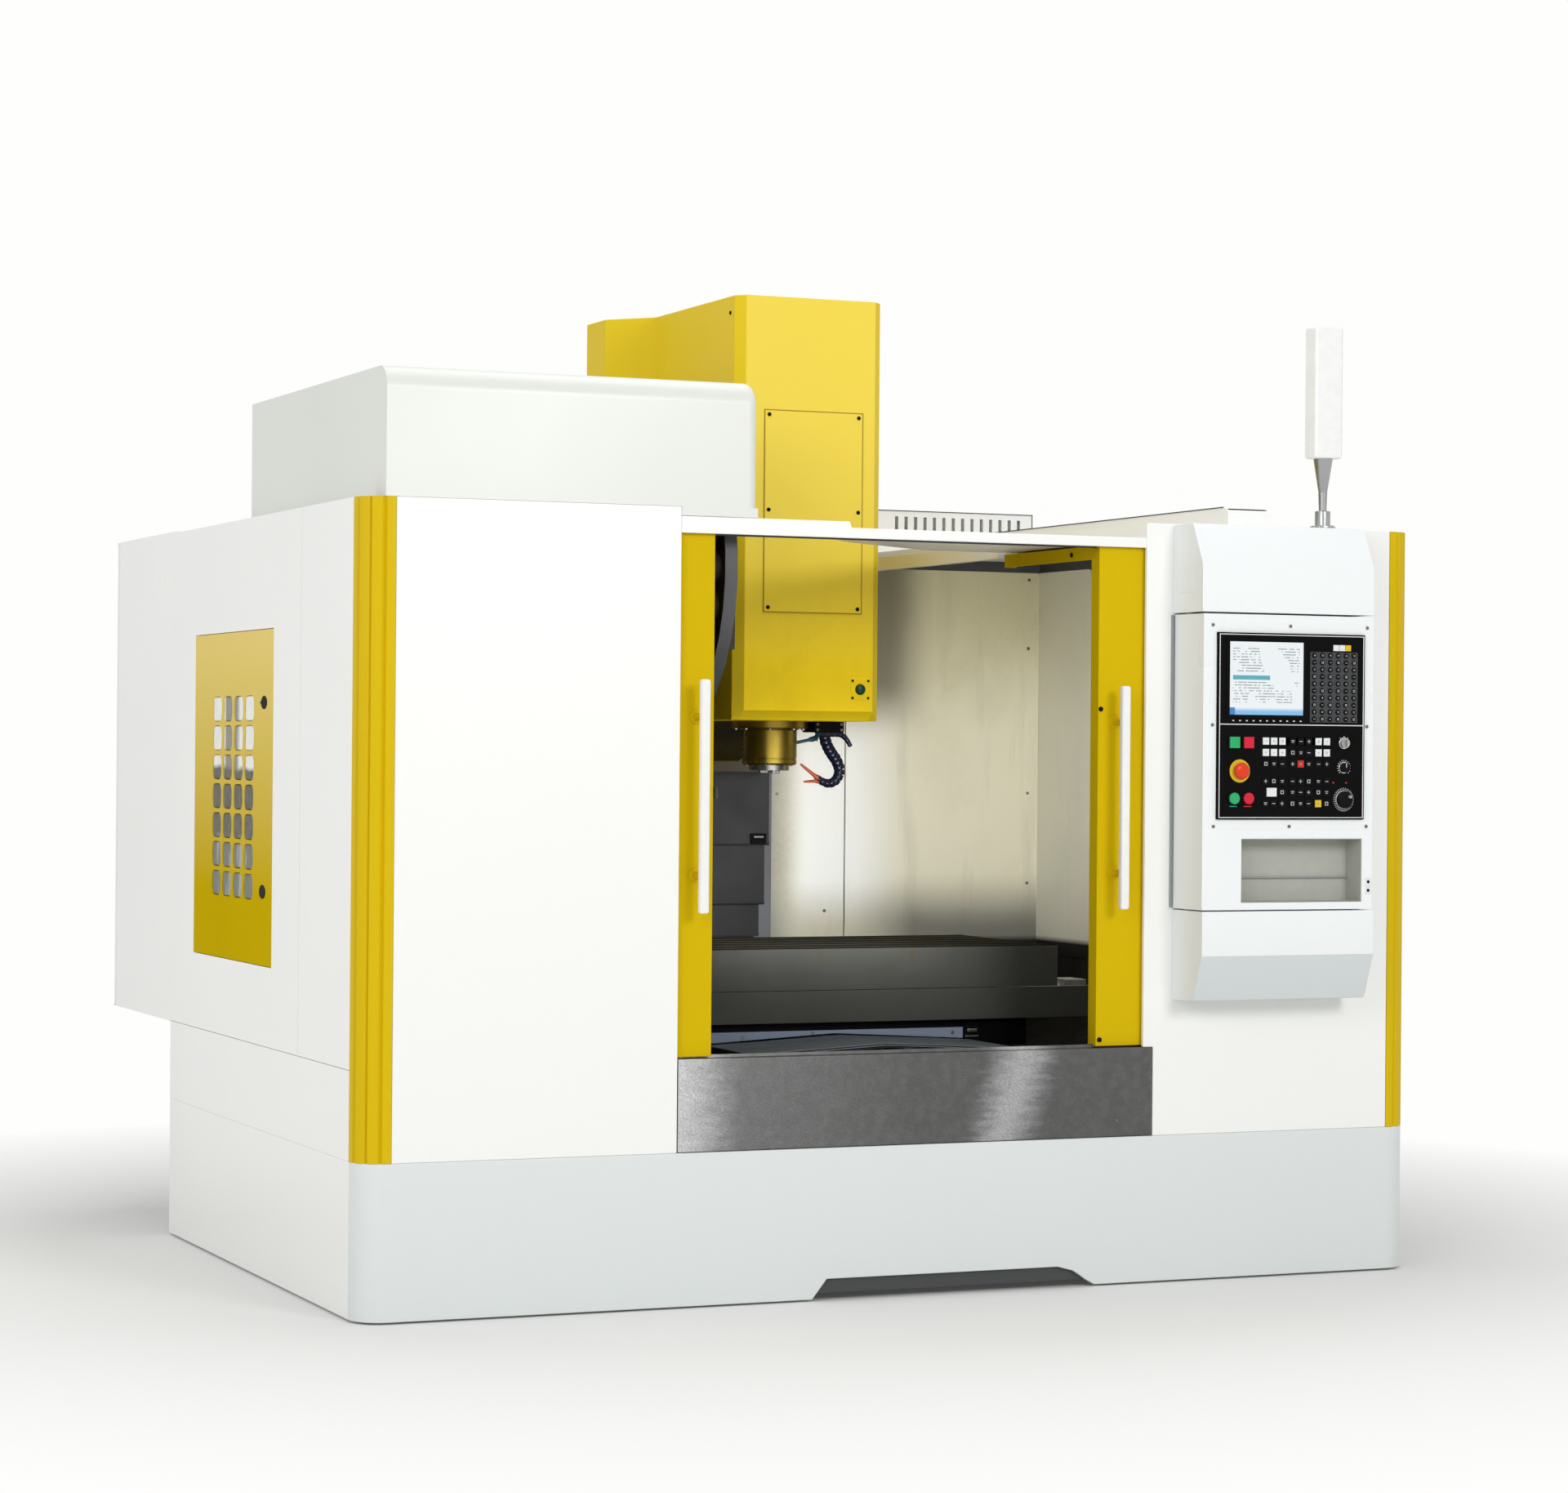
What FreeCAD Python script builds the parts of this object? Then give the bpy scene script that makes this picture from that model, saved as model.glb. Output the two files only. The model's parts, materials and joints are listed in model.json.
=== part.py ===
"""Vertical machining center with a closed sheet-metal enclosure.

All sizes in mm. X runs to the machine's right, Y to its rear, Z up. The origin is the middle of the
footprint on the floor. Every sub-part is written as its own STEP file in the shared machine frame.
"""
import FreeCAD, Part
import os
import math

V = FreeCAD.Vector

# Enclosure
HALF_W = 1700.0          # half width over the side panels
FRONT = -1360.0          # front plane of the panels
REAR = 750.0             # rear plane of the enclosure
SHEET = 15.0             # depth of a folded panel
CORNER_R = 90.0          # rounded front corners
BASE_TOP = 445.0         # top of the base skirt
BAND_TOP = 697.0         # seam between lower and upper side panels
PANEL_TOP = 2290.0       # top of the panels
OPEN_L, OPEN_R = -757.0, 750.0      # sides of the door opening
SILL = 712.0             # top of the apron
LINTEL = 2215.0          # underside of the header
INNER_X = 1434.0         # inner side walls
INNER_Y = 679.0          # inner back wall

# Machine axes
AXIS_Y = -232.0          # spindle axis, on X = 0
NOSE_Z = 1532.0          # spindle face
TABLE_L, TABLE_W = 1500.0, 700.0
TABLE_Y, TABLE_TOP = -450.0, 990.0
RAIL_X = 340.0           # Y-axis rails
BED_TOP = 640.0
COLUMN_FRONT = 560.0
Z_RAIL_X = 230.0
SCREW_Z_Y = 640.0        # Z-axis ball screw

# Doors
DOOR_Y0, DOOR_Y1 = -1338.0, -1288.0
DOOR_BOTTOM, DOOR_TOP = 717.0, 2221.0
LEFT_EDGE, RIGHT_EDGE = -645.0, 600.0
DOOR_LEN = 770.0

# Hinge pins of the swinging doors
SIDE_PIN_X, SIDE_PIN_Y = -1692.5, 450.0
REAR_PIN_X, REAR_PIN_Y = -1688.0, 1548.0

# Control station
CS_X0, CS_X1 = 841.0, 1437.0
CS_FRONT = -1540.0
PIVOT_X, PIVOT_Y = 868.0, -1420.0   # swing axis of the control box

# Tool magazine
MAG_Y, MAG_Z, MAG_R = -757.0, 2130.0, 500.0
POT_R = 430.0
POTS = 24
ARM_X, ARM_Y, ARM_Z = -380.0, -329.5, 1450.0
ARM_R = math.hypot(ARM_X, ARM_Y - AXIS_Y)   # its grippers pass through the spindle axis
ARM_PARK = 80.8          # parked direction in degrees from X


def block(x0, x1, y0, y1, z0, z1):
    return Part.makeBox(x1 - x0, y1 - y0, z1 - z0, V(x0, y0, z0))


def rod(x, y, z, radius, length, axis="Z"):
    way = {"X": V(1, 0, 0), "Y": V(0, 1, 0), "Z": V(0, 0, 1)}[axis]
    return Part.makeCylinder(radius, length, V(x, y, z), way)


def prism(points, axis, start, end):
    """Extrude a closed outline given in the two axes left over, from start to end along axis."""
    place = {"X": lambda p: V(start, p[0], p[1]),
             "Y": lambda p: V(p[0], start, p[1]),
             "Z": lambda p: V(p[0], p[1], start)}[axis]
    way = {"X": V(end - start, 0, 0), "Y": V(0, end - start, 0), "Z": V(0, 0, end - start)}[axis]
    corners = [place(p) for p in points]
    return Part.Face(Part.makePolygon(corners + corners[:1])).extrude(way)


def mirror_x(points):
    return [(-x, z) for x, z in reversed(points)]


def turned(profile, x, y, axis="Z", at=0.0):
    """Revolve a (radius, height) outline round a line through (x, y) or, lying, through (y, z)."""
    corners = [V(r, 0, h) for r, h in profile]
    solid = Part.Face(Part.makePolygon(corners + corners[:1])).revolve(V(0, 0, 0), V(0, 0, 1), 360)
    if axis == "X":
        solid.rotate(V(0, 0, 0), V(0, 1, 0), 90)
        solid.translate(V(at, x, y))
    elif axis == "Y":
        solid.rotate(V(0, 0, 0), V(1, 0, 0), 90)
        solid.translate(V(x, at, y))
    else:
        solid.translate(V(x, y, at))
    return solid


def rounded(x0, x1, y0, y1, z0, z1, radius, pick):
    """Box with the vertical edges chosen by pick(x, y) rounded."""
    solid = block(x0, x1, y0, y1, z0, z1)
    edges = [e for e in solid.Edges
             if abs(e.tangentAt(e.FirstParameter).z) > 0.9 and pick(e.CenterOfMass.x, e.CenterOfMass.y)]
    return solid.makeFillet(radius, edges)


def ngon(x, y, radius, sides):
    """Corners of an upright regular outline round (x, y)."""
    turn = 2 * math.pi / sides
    return [(x + radius * math.cos(turn * (k + 0.5)), y + radius * math.sin(turn * (k + 0.5)))
            for k in range(sides)]


def join(shapes):
    solid = shapes[0].multiFuse(shapes[1:]) if len(shapes) > 1 else shapes[0]
    return solid.removeSplitter()


def group(shapes):
    return Part.makeCompound(shapes)


# ---------------------------------------------------------------- bed, frame and feet

def bed_casting():
    half = [(620, 40), (620, 400), (430, BED_TOP), (250, BED_TOP), (250, 540)]
    bed = prism(half + mirror_x(half), "Y", -1160, 1180)
    foot = block(-249, 249, 500, 1180, 539, BED_TOP)
    pockets = []
    for y in (-1080, -560, -40, 480):
        pockets.append(block(560, 621, y, y + 420, 110, 330))
        pockets.append(block(-621, -560, y, y + 420, 110, 330))
    screw_seat = block(-120, 120, -1161, -1080, 556, 700)
    return join([bed, foot]).cut(group(pockets)).cut(screw_seat)


def levelling_feet():
    feet = []
    for x in (-560, 560):
        for y in (-1100, 0, 1120):
            pad = prism(ngon(x, y, 62, 8), "Z", 0, 14)
            screw = prism(ngon(x, y, 22, 8), "Z", 14, 40)
            nut = prism(ngon(x, y, 36, 6), "Z", 24, 40)
            feet.append(join([pad, screw, nut]))
    return group(feet)


def base_skirt():
    front = lambda x, y: y < FRONT + 1
    outer = rounded(-HALF_W, HALF_W, FRONT, REAR, 6, BASE_TOP, CORNER_R, front)
    inner = rounded(-HALF_W + SHEET, HALF_W - SHEET, FRONT + SHEET, REAR + 400, 0, 500,
                    CORNER_R - SHEET, lambda x, y: y < 0)
    notch = [(-332, 5), (592, 5), (562, 22), (520, 50), (467, 64), (-285, 64)]
    return outer.cut(inner).cut(prism(notch, "Y", FRONT - 5, FRONT + 60))


def enclosure_frame():
    parts = []
    for side in (-1, 1):
        x0, x1 = sorted((side * 1635, side * 1685))
        parts.append(block(x0, x1, -1265, 735, 60, 120))
        parts.append(block(x0, x1, -1265, -1215, 60, 2275))
        parts.append(block(x0, x1, 685, 735, 60, 2275))
        parts.append(block(x0, x1, -1265, 735, 2225, 2275))
        b0, b1 = sorted((side * 620, side * 1685))
        parts.append(block(b0, b1, -1110, -1060, 60, 120))
        parts.append(block(b0, b1, 620, 670, 60, 120))
        w0, w1 = sorted((side * (INNER_X + 6), side * (INNER_X + 56)))
        parts.append(block(w0, w1, -1265, 735, 2225, 2275))
        t0, t1 = sorted((side * 360, side * 1685))
        parts.append(block(t0, t1, 685, 735, 2225, 2275))
        parts.append(block(*sorted((side * 1440, side * 1685)), -1265, -1215, 2225, 2275))
        sx0, sx1 = sorted((side * 1550, side * 1600))
        parts.append(block(sx0, sx1, -1306, -1215, 60, 90))
        parts.append(block(*sorted((side * 1550, side * 1685)), -1265, -1215, 60, 90))
    parts.append(block(-1600, 1600, -1345, -1305, 20, 90))
    return join(parts)


# ---------------------------------------------------------------- outer sheet metal

def left_front_panel():
    return join([block(-1605, OPEN_L, FRONT, FRONT + SHEET, BASE_TOP, PANEL_TOP),
                 block(-1605, OPEN_L, FRONT + SHEET, FRONT + 60, PANEL_TOP - 8, PANEL_TOP)])


def right_front_panel():
    outline = [(783, BASE_TOP), (1605, BASE_TOP), (1605, PANEL_TOP), (OPEN_R, PANEL_TOP),
               (OPEN_R, SILL), (783, SILL)]
    return prism(outline, "Y", FRONT, FRONT + SHEET)


def corner_post(side):
    """Quarter-round pillar with three shallow flutes."""
    cx, cy = side * (HALF_W - CORNER_R), FRONT + CORNER_R
    x0, x1 = sorted((side * 1606, side * HALF_W))
    outer = rounded(x0, x1, FRONT, cy + 4, BASE_TOP, PANEL_TOP, CORNER_R - 1,
                    lambda x, y: y < FRONT + 1 and abs(x) > 1650)
    i0, i1 = sorted((side * 1600, side * (HALF_W - SHEET)))
    inner = rounded(i0, i1, FRONT + SHEET, cy + 20, 400, 2400, CORNER_R - SHEET - 1,
                    lambda x, y: y < FRONT + SHEET + 1 and abs(x) > 1650)
    flutes = []
    for deg in (18, 45, 72):
        a = math.radians(deg)
        fx, fy = cx + side * CORNER_R * math.sin(a), cy - CORNER_R * math.cos(a)
        tip = 7.0
        flutes.append(prism([(fx - side * tip * math.cos(a), fy - tip * math.sin(a)),
                             (fx - side * tip * math.sin(a), fy + tip * math.cos(a)),
                             (fx + side * tip * math.cos(a), fy + tip * math.sin(a)),
                             (fx + side * tip * math.sin(a), fy - tip * math.cos(a))],
                            "Z", 400, 2400))
    return outer.cut(inner).cut(group(flutes))


def corner_posts():
    return group([corner_post(-1), corner_post(1)])


def left_side_panels():
    seam = 1.5
    x0, x1 = -HALF_W, -HALF_W + SHEET
    front = block(x0, x1, FRONT + 95, -750 - seam, BAND_TOP + seam, PANEL_TOP)
    rear = block(x0, x1, -750 + seam, REAR, BAND_TOP + seam, PANEL_TOP)
    door = block(x0 - 1, x1 + 1, -457, 462, 936, 1948)
    pins = [rod(SIDE_PIN_X, SIDE_PIN_Y, z, 4, 22) for z in (930, 1932)]
    band = block(x0, x1, FRONT + 95, REAR, BASE_TOP, BAND_TOP)
    return group([front, join([rear.cut(door)] + pins), band])


def rear_side_panels():
    x0, x1 = HALF_W - SHEET, HALF_W
    upper = block(x0, x1, FRONT + 95, REAR, BAND_TOP + 1.5, PANEL_TOP)
    band = block(x0, x1, FRONT + 95, REAR, BASE_TOP, BAND_TOP)
    parts = [upper, band]
    for side in (-1, 1):
        outline = [(360, 642), (640, 642), (640, 6), (1685, 6), (1685, PANEL_TOP), (360, PANEL_TOP)]
        parts.append(prism([(side * x, z) for x, z in outline], "Y", REAR - SHEET, REAR))
    return group(parts)


def roof_panels():
    """Right roof sheet, soffit behind the header, raised duct cover, louvred rear strip and beam."""
    sheet = prism([(760, -1345), (1604, -1345), (1604, -1265), (1685, -1265), (1685, 735), (760, 735)],
                  "Z", PANEL_TOP - 15, PANEL_TOP)
    skirt = block(760, 768, -1344, 684, 2246, PANEL_TOP - 15)
    soffit = prism([(-360, -1308), (INNER_X - 2, -1308), (INNER_X - 2, -690), (330, -700), (-60, -985)],
                   "Z", 2225, 2231)
    duct = prism([(FRONT + 6, PANEL_TOP), (700, PANEL_TOP), (700, 2350), (FRONT + 30, 2350),
                  (FRONT + 6, 2336)], "X", 1032, 1178)
    duct = duct.cut(block(1038, 1172, FRONT + 12, 694, PANEL_TOP - 1, 2344))
    strip = block(380, 1415, REAR - 50, REAR - SHEET, PANEL_TOP, 2447)
    strip = strip.cut(block(386, 1409, REAR - 44, REAR, PANEL_TOP - 1, 2441))
    louvres = [block(x, x + 13, REAR - 60, REAR - 30, 2375, 2425) for x in range(872, 1390, 37)]
    back = block(386, 1409, REAR - 21, REAR - SHEET, PANEL_TOP, 2441)
    beam = block(585, 612, -690, INNER_Y, 2207, 2250).cut(block(584, 613, -700, -689, 2220, 2232))
    return group([join([sheet, skirt]), soffit, duct, join([strip.cut(group(louvres)), back]), beam])


def header_beam():
    face = prism([(OPEN_L, LINTEL), (OPEN_R, LINTEL), (OPEN_R, 2245), (-225, 2245), (-232, 2263),
                  (OPEN_L, 2263)], "Y", FRONT, FRONT + SHEET)
    flange = block(-1432, INNER_X - 2, FRONT + SHEET, -1280, 2231, 2245)
    track = block(-1430, 1400, -1320, -1310, 2212, 2232)
    return join([face, flange, track])


def steel_apron():
    face = block(-755, 782, FRONT - 2, FRONT + 8, 447, SILL)
    ledge = block(-755, 748, FRONT - 2, -1285, SILL - 8, SILL)
    sill = block(-1432, INNER_X - 2, -1340, -1285, SILL - 8, SILL)
    guide = block(-1430, 1400, -1320, -1310, SILL - 1, SILL + 9)
    return join([face, ledge, sill, guide])


def left_roof_cover():
    """Raised hood over the tool magazine, front edge rolled over."""
    outer = block(-1636, -522, FRONT, 40, PANEL_TOP, 2655)
    edges = [e for e in outer.Edges if abs(e.CenterOfMass.y - FRONT) < 1 and abs(e.CenterOfMass.z - 2655) < 1]
    outer = outer.makeFillet(66, edges)
    ridge = [e for e in outer.Edges if abs(e.CenterOfMass.x + 522) < 1 and abs(e.CenterOfMass.z - 2655) < 1]
    outer = outer.makeFillet(28, ridge)
    inner = block(-1628, -530, FRONT + 8, 32, PANEL_TOP - 1, 2647)
    edges = [e for e in inner.Edges if abs(e.CenterOfMass.y - FRONT - 8) < 1 and abs(e.CenterOfMass.z - 2647) < 1]
    hood = outer.cut(inner.makeFillet(58, edges))
    lip = block(OPEN_L, -522, FRONT, FRONT + 8, 2264, PANEL_TOP + 1)
    rear = block(-1636, -522, 32, 40, PANEL_TOP - 15, PANEL_TOP)
    deck = block(-1685, -522, 40, REAR - SHEET, PANEL_TOP - 15, PANEL_TOP)
    side = block(-1685, -1600, -1265, 40, PANEL_TOP - 15, PANEL_TOP)
    return group([join([hood, lip, rear]), join([deck, side])])


def inner_walls():
    parts = []
    for side in (-1, 1):
        for a, b in ((360, 676), (680, INNER_X)):
            x0, x1 = sorted((side * a, side * b))
            parts.append(block(x0, x1, INNER_Y, INNER_Y + 6, 880, 2238))
    right = block(INNER_X, INNER_X + 6, 245, 685, 880, 2238)
    corner = [e for e in right.Edges if abs(e.CenterOfMass.y - 245) < 1 and abs(e.CenterOfMass.z - 2238) < 1]
    front = block(INNER_X, INNER_X + 6, -1285, 246, 880, 2168)
    parts.append(join([right.makeFillet(70, corner), front]))
    left = block(-INNER_X - 6, -INNER_X, -1285, 685, 880, 2238)
    parts.append(left.cut(block(-1500, -1400, -457, 462, 936, 1948)))
    return group(parts)


def chip_tray():
    """Sloping pans beside and before the bed and the skirting that carries the inner walls."""
    parts = []
    for side in (-1, 1):
        sheet = [(620, 388), (INNER_X + 6, 688), (INNER_X + 6, 880), (INNER_X, 880),
                 (INNER_X, 694), (620, 396)]
        sheet = [(side * x, z) for x, z in sheet]
        parts.append(prism(sheet, "Y", -1160, INNER_Y - 6))
        rear = [(360, 642), (434, 642), (624, 402), (624, 398), (INNER_X, 695), (INNER_X, 880), (360, 880)]
        parts.append(prism([(side * x, z) for x, z in rear], "Y", INNER_Y - 6, INNER_Y))
    parts.append(prism([(-1284, 704), (-1284, 560), (-1160, 480), (-1160, 488), (-1278, 564),
                        (-1278, 704)], "X", -INNER_X, INNER_X))
    return group(parts)


# ---------------------------------------------------------------- column and drives

def column_casting():
    """Hollow column with front rail pads, a screw recess, side pockets and a splayed foot."""
    body = block(-350, 350, COLUMN_FRONT, 1120, BED_TOP, 2830)
    foot = prism([(-350, BED_TOP), (350, BED_TOP), (350, 700), (-350, 700)], "Y", 561, 1180)
    recess = block(-150, 150, COLUMN_FRONT - 1, 780, 1250, 2831)
    core = block(-250, 250, 850, 1121, 760, 2720)
    pockets = [block(s * 350 - 60, s * 350 + 60, 640, 1040, z, z + 520)
               for s in (-1, 1) for z in (760, 1420, 2080)]
    return join([body, foot]).cut(recess).cut(core).cut(group(pockets))


def rail(axis, across, base, start, end):
    """Profiled guide rail, 45 wide and 38 high."""
    half = [(22.5, 0), (22.5, 14), (16, 20), (22.5, 28), (22.5, 38)]
    pts = half + [(-a, b) for a, b in reversed(half)]
    height = -1 if axis == "Z" else 1
    return prism([(across + a, base + height * b) for a, b in pts], axis, start, end)


def axis_drives():
    """Fixed guide rails, ball screws, bearing blocks and servo motors of the Y and Z axes."""
    parts = [rail("Y", s * RAIL_X, BED_TOP, -1150, 470) for s in (-1, 1)]
    parts += [rail("Z", s * Z_RAIL_X, COLUMN_FRONT, 1300, 2820) for s in (-1, 1)]
    z_screw = rod(0, SCREW_Z_Y, 1300, 25, 1560)
    z_foot = block(-150, 150, 600, 779, 1251, 1330)
    z_head = block(-150, 150, 590, 779, 2760, 2830).fuse(block(-95, 95, 560, 720, 2830, 2850))
    z_motor = join([block(-90, 90, 560, 720, 2850, 2880), block(-75, 75, 566, 714, 2880, 2985)])
    parts.append(join([z_screw, z_foot, z_head, z_motor]))
    y_screw = rod(0, -1090, 612, 20, 1590, "Y")
    y_front = block(-70, 70, -1090, -1030, 556.5, 650)
    y_rear = block(-60, 60, 420, 499, 540, 645)
    y_motor = join([block(-62, 62, -1120, -1090, 557, 668), block(-55, 55, -1159, -1120, 557, 662)])
    parts.append(join([y_screw, y_front, y_rear, y_motor]))
    return group(parts)


def fixed_way_covers():
    """Lowest column cover plate and the front-most gable cover of the Y ways."""
    plate = join([block(-266, 266, 516, 519, 641, 1075), block(-266, -262, 516, 560, 641, 1075),
                  block(262, 266, 516, 560, 641, 1075)])
    return group([plate, gable(-1159, -819, 0)])


def gable(y0, y1, step):
    """Low roof-shaped way cover; step 0 is the innermost of the nest."""
    edge, lift = 430 + 5 * step, 5 * step
    outer = [(edge - 3, BED_TOP), (edge, BED_TOP), (edge, 692 + lift), (0, 716 + lift)]
    inner = [(-(edge - 3), 689 + lift), (0, 713 + lift), (edge - 3, 689 + lift)]
    return prism(outer + mirror_x(outer)[1:] + inner, "Y", y0, y1)


# ---------------------------------------------------------------- saddle and table

def saddle():
    """Cross slide with four ball carriages below, splash guards and a wiper plate over the way cover."""
    y0, y1 = -760.0, -140.0
    slab = block(-1010, 1010, y0, y1, 764, 812)
    keel = prism([(-440, 735), (440, 735), (560, 764), (-560, 764)], "Y", y0, y1)
    parts = [slab, keel]
    for s in (-1, 1):
        for y in (-676, -300):
            parts.append(block(s * RAIL_X - 60, s * RAIL_X + 60, y, y + 130, 650, 736))
    nut = block(-60, 60, -520, -400, 560, 736)
    parts.append(nut)
    body = join(parts).cut(rod(0, -530, 612, 20.6, 140, "Y"))
    for s in (-1, 1):
        body = body.cut(block(s * RAIL_X - 23, s * RAIL_X + 23, -700, -100, 645, 678.5))
    guards = [block(-1010, 1010, -800, -796, 764, 862), block(-1010, 1010, -796, -759, 764, 770),
              block(-1010, 1010, -104, -100, 764, 862), block(-1010, 1010, -141, -104, 764, 770)]
    wiper = prism([(-453, 737), (-453, 702), (0, 727), (453, 702), (453, 737)], "Y", -763, -755)
    return join([body, wiper] + guards)


def x_axis_drive():
    parts = [rail("X", y, 812, -1000, 1000) for y in (-640, -260)]
    screw = rod(-940, TABLE_Y, 836, 20, 1870, "X")
    ends = [block(-1000, -940, -505, -395, 812, 862), block(930, 1008, -505, -395, 812, 862)]
    parts.append(join([screw] + ends))
    return group(parts)


def table():
    """Work table with five T-slots, ball carriages and screw nut below."""
    x0, x1 = -TABLE_L / 2, TABLE_L / 2
    y0, y1 = TABLE_Y - TABLE_W / 2, TABLE_Y + TABLE_W / 2
    top = block(x0, x1, y0, y1, 880, TABLE_TOP)
    rib = block(x0 + 12, x1 - 12, y0 + 10, y1 - 10, 870, 881)
    slots = []
    for k in range(-2, 3):
        y = TABLE_Y + 125 * k
        half = [(9, 991), (9, 962), (16, 962), (16, 946)]
        slots.append(prism([(y + a, b) for a, b in half] + [(y - a, b) for a, b in reversed(half)],
                           "X", x0 - 1, x1 + 1))
    lips = [block(x0, x1, y0, y0 + 8, 863.5, 881), block(x0, x1, y1 - 8, y1, 863.5, 881)]
    body = join([top, rib] + lips).cut(group(slots))
    parts = [body]
    for y in (-640, -260):
        for x in (-330, 210):
            car = block(x, x + 120, y - 50, y + 50, 822, 871)
            parts.append(car.cut(block(x - 1, x + 121, y - 23, y + 23, 821, 850.5)))
    nut = block(-55, 55, TABLE_Y - 50, TABLE_Y + 50, 815, 871).cut(rod(-60, TABLE_Y, 836, 20.6, 120, "X"))
    return join(parts + [nut])


# ---------------------------------------------------------------- head and spindle

def head_casting():
    """Head with rear plate, Z carriages, nut bracket and the spindle drive motor on top."""
    plate = block(-290, 290, 380, 470, NOSE_Z - 9, 2520)
    body = block(-170, 170, -380, 380, 1700, 2120)
    bolster = prism([(-60, 1700), (380, 1560), (380, 1701), (-60, 1701)], "X", -150, 150)
    motor = join([block(-150, 150, AXIS_Y - 150, AXIS_Y + 150, 2120, 2160),
                  prism(ngon(0, AXIS_Y, 150, 8), "Z", 2160, 2740)])
    nut_arm = block(-60, 60, 470, 700, 2000, 2120)
    parts = [plate, body, bolster, motor, nut_arm]
    for s in (-1, 1):
        for z in (1700, 2380):
            parts.append(block(s * Z_RAIL_X - 60, s * Z_RAIL_X + 60, 469, 548, z, z + 140))
    solid = join(parts)
    for s in (-1, 1):
        solid = solid.cut(block(s * Z_RAIL_X - 23, s * Z_RAIL_X + 23, 521.5, 600, 1600, 2600))
    solid = solid.cut(rod(0, SCREW_Z_Y, 1990, 25.6, 140))
    return solid.cut(rod(0, AXIS_Y, 1600, 80, 420))


def head_cover():
    """Sheet casing of the head, bevelled front edges, wider rear part, access panel with screws."""
    def plan(g):
        half = [(219 - g, -543 + g), (249 - g, -513 + g), (249 - g, 158), (373 - g, 302), (373 - g, 475)]
        return half + [(-a, b) for a, b in reversed(half)]
    outer = prism(plan(0), "Z", 1690, 3012)
    wedge = prism([(-544, 1689), (-505, 1689), (-544, 1721)], "X", -400, 400)
    shell = outer.cut(wedge).cut(prism(plan(4), "Z", 1696, 3008))
    rear_open = block(-296, 296, 376, 476, 1600, 2900)
    slot = block(-200, 200, 300, 390, 1600, 1700)
    neck = rod(0, AXIS_Y, 1600, 128, 120)
    passage = prism([(-100, 1680), (390, 1500), (390, 1705), (-100, 1705)], "X", -156, 156)
    shell = shell.cut(rear_open).cut(neck).cut(passage).cut(slot)
    panel = block(-156, 176, -546, -542, 2029, 2656)
    bezel = block(143, 209, -546, -542, 1757, 1823)
    return join([shell, panel, bezel]).cut(prism(ngon(176, 1790, 17.5, 12), "Y", -550, -530))


def spindle_housing():
    """Nose flange and barrel of the spindle cartridge."""
    profile = [(64.5, 1566), (88, 1566), (88, 1666), (123, 1666), (123, 1690),
               (79.6, 1690), (79.6, 2010), (64.5, 2010)]
    return turned(profile, 0, AXIS_Y)


def spindle():
    """Rotating spindle with its 7/24 taper bore, face keys and drawbar bore."""
    outer = [(20, 1990), (64.4, 1990), (64.4, NOSE_Z), (34.9, NOSE_Z), (20, NOSE_Z + 102)]
    body = turned(outer, 0, AXIS_Y)
    keys = [block(-13, 13, AXIS_Y + a, AXIS_Y + a + 18, NOSE_Z - 9, NOSE_Z + 1) for a in (-59, 41)]
    return join([body] + keys)


def hose(points, radii, sides=8):
    """Stiff jointed hose: eight-sided rings of the given radii lofted along the points."""
    rings = []
    for k, point in enumerate(points):
        before = V(*points[max(k - 1, 0)])
        after = V(*points[min(k + 1, len(points) - 1)])
        way = (after - before).normalize()
        u = way.cross(V(0, 1, 0)).normalize()
        w = way.cross(u)
        turn = 2 * math.pi / sides
        ring = [V(*point) + u * (radii[k] * math.cos(turn * i)) + w * (radii[k] * math.sin(turn * i))
                for i in range(sides)]
        rings.append(Part.makePolygon(ring + ring[:1]))
    return Part.makeLoft(rings, True, True)


def coolant_hoses():
    """Manifold block under the head with modular hoses and nozzles."""
    manifold = block(132, 236, AXIS_Y - 60, AXIS_Y + 40, 1655, 1689)
    y = AXIS_Y - 20
    main = hose([(182, y, 1658), (184, y, 1632), (204, y, 1592), (234, y, 1556), (239, y, 1517),
                 (214, y, 1481), (172, y, 1477), (122, y, 1508)], (18, 19, 19, 19, 19, 19, 15, 5))
    short = hose([(214, y, 1658), (216, y, 1630), (244, y, 1612), (262, y, 1588)], (14, 12, 9, 8))
    spur = hose([(160, y + 40, 1658), (158, y + 40, 1624), (122, y + 40, 1617)], (13, 11, 4))
    return join([manifold, main, short, spur])


def release_button():
    """Round push button in its square bezel plate on the head."""
    return rod(176, -556, 1790, 16, 28, "Y")


def z_cover(k):
    """Telescopic cover plate of the column; 1 rides with the head."""
    half = {1: 309, 2: 297, 3: 281}[k]
    y = {1: 490, 2: 499, 3: 508}[k]
    z0, z1 = {1: (1272, 1522), 2: (1070, 1460), 3: (962, 1180)}[k]
    face = block(-half, half, y, y + 3, z0, z1)
    sides = [block(-half, -half + 3, y, 545, z0, z1), block(half - 3, half, y, 545, z0, z1)]
    hem = block(-half, half, y - 3, y, z0, z0 + 14)
    parts = [face, hem] + sides
    if k == 1:
        parts.append(block(-280, 280, 462, 493, 1516, 1522.9))
    return join(parts)


# ---------------------------------------------------------------- doors

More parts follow.
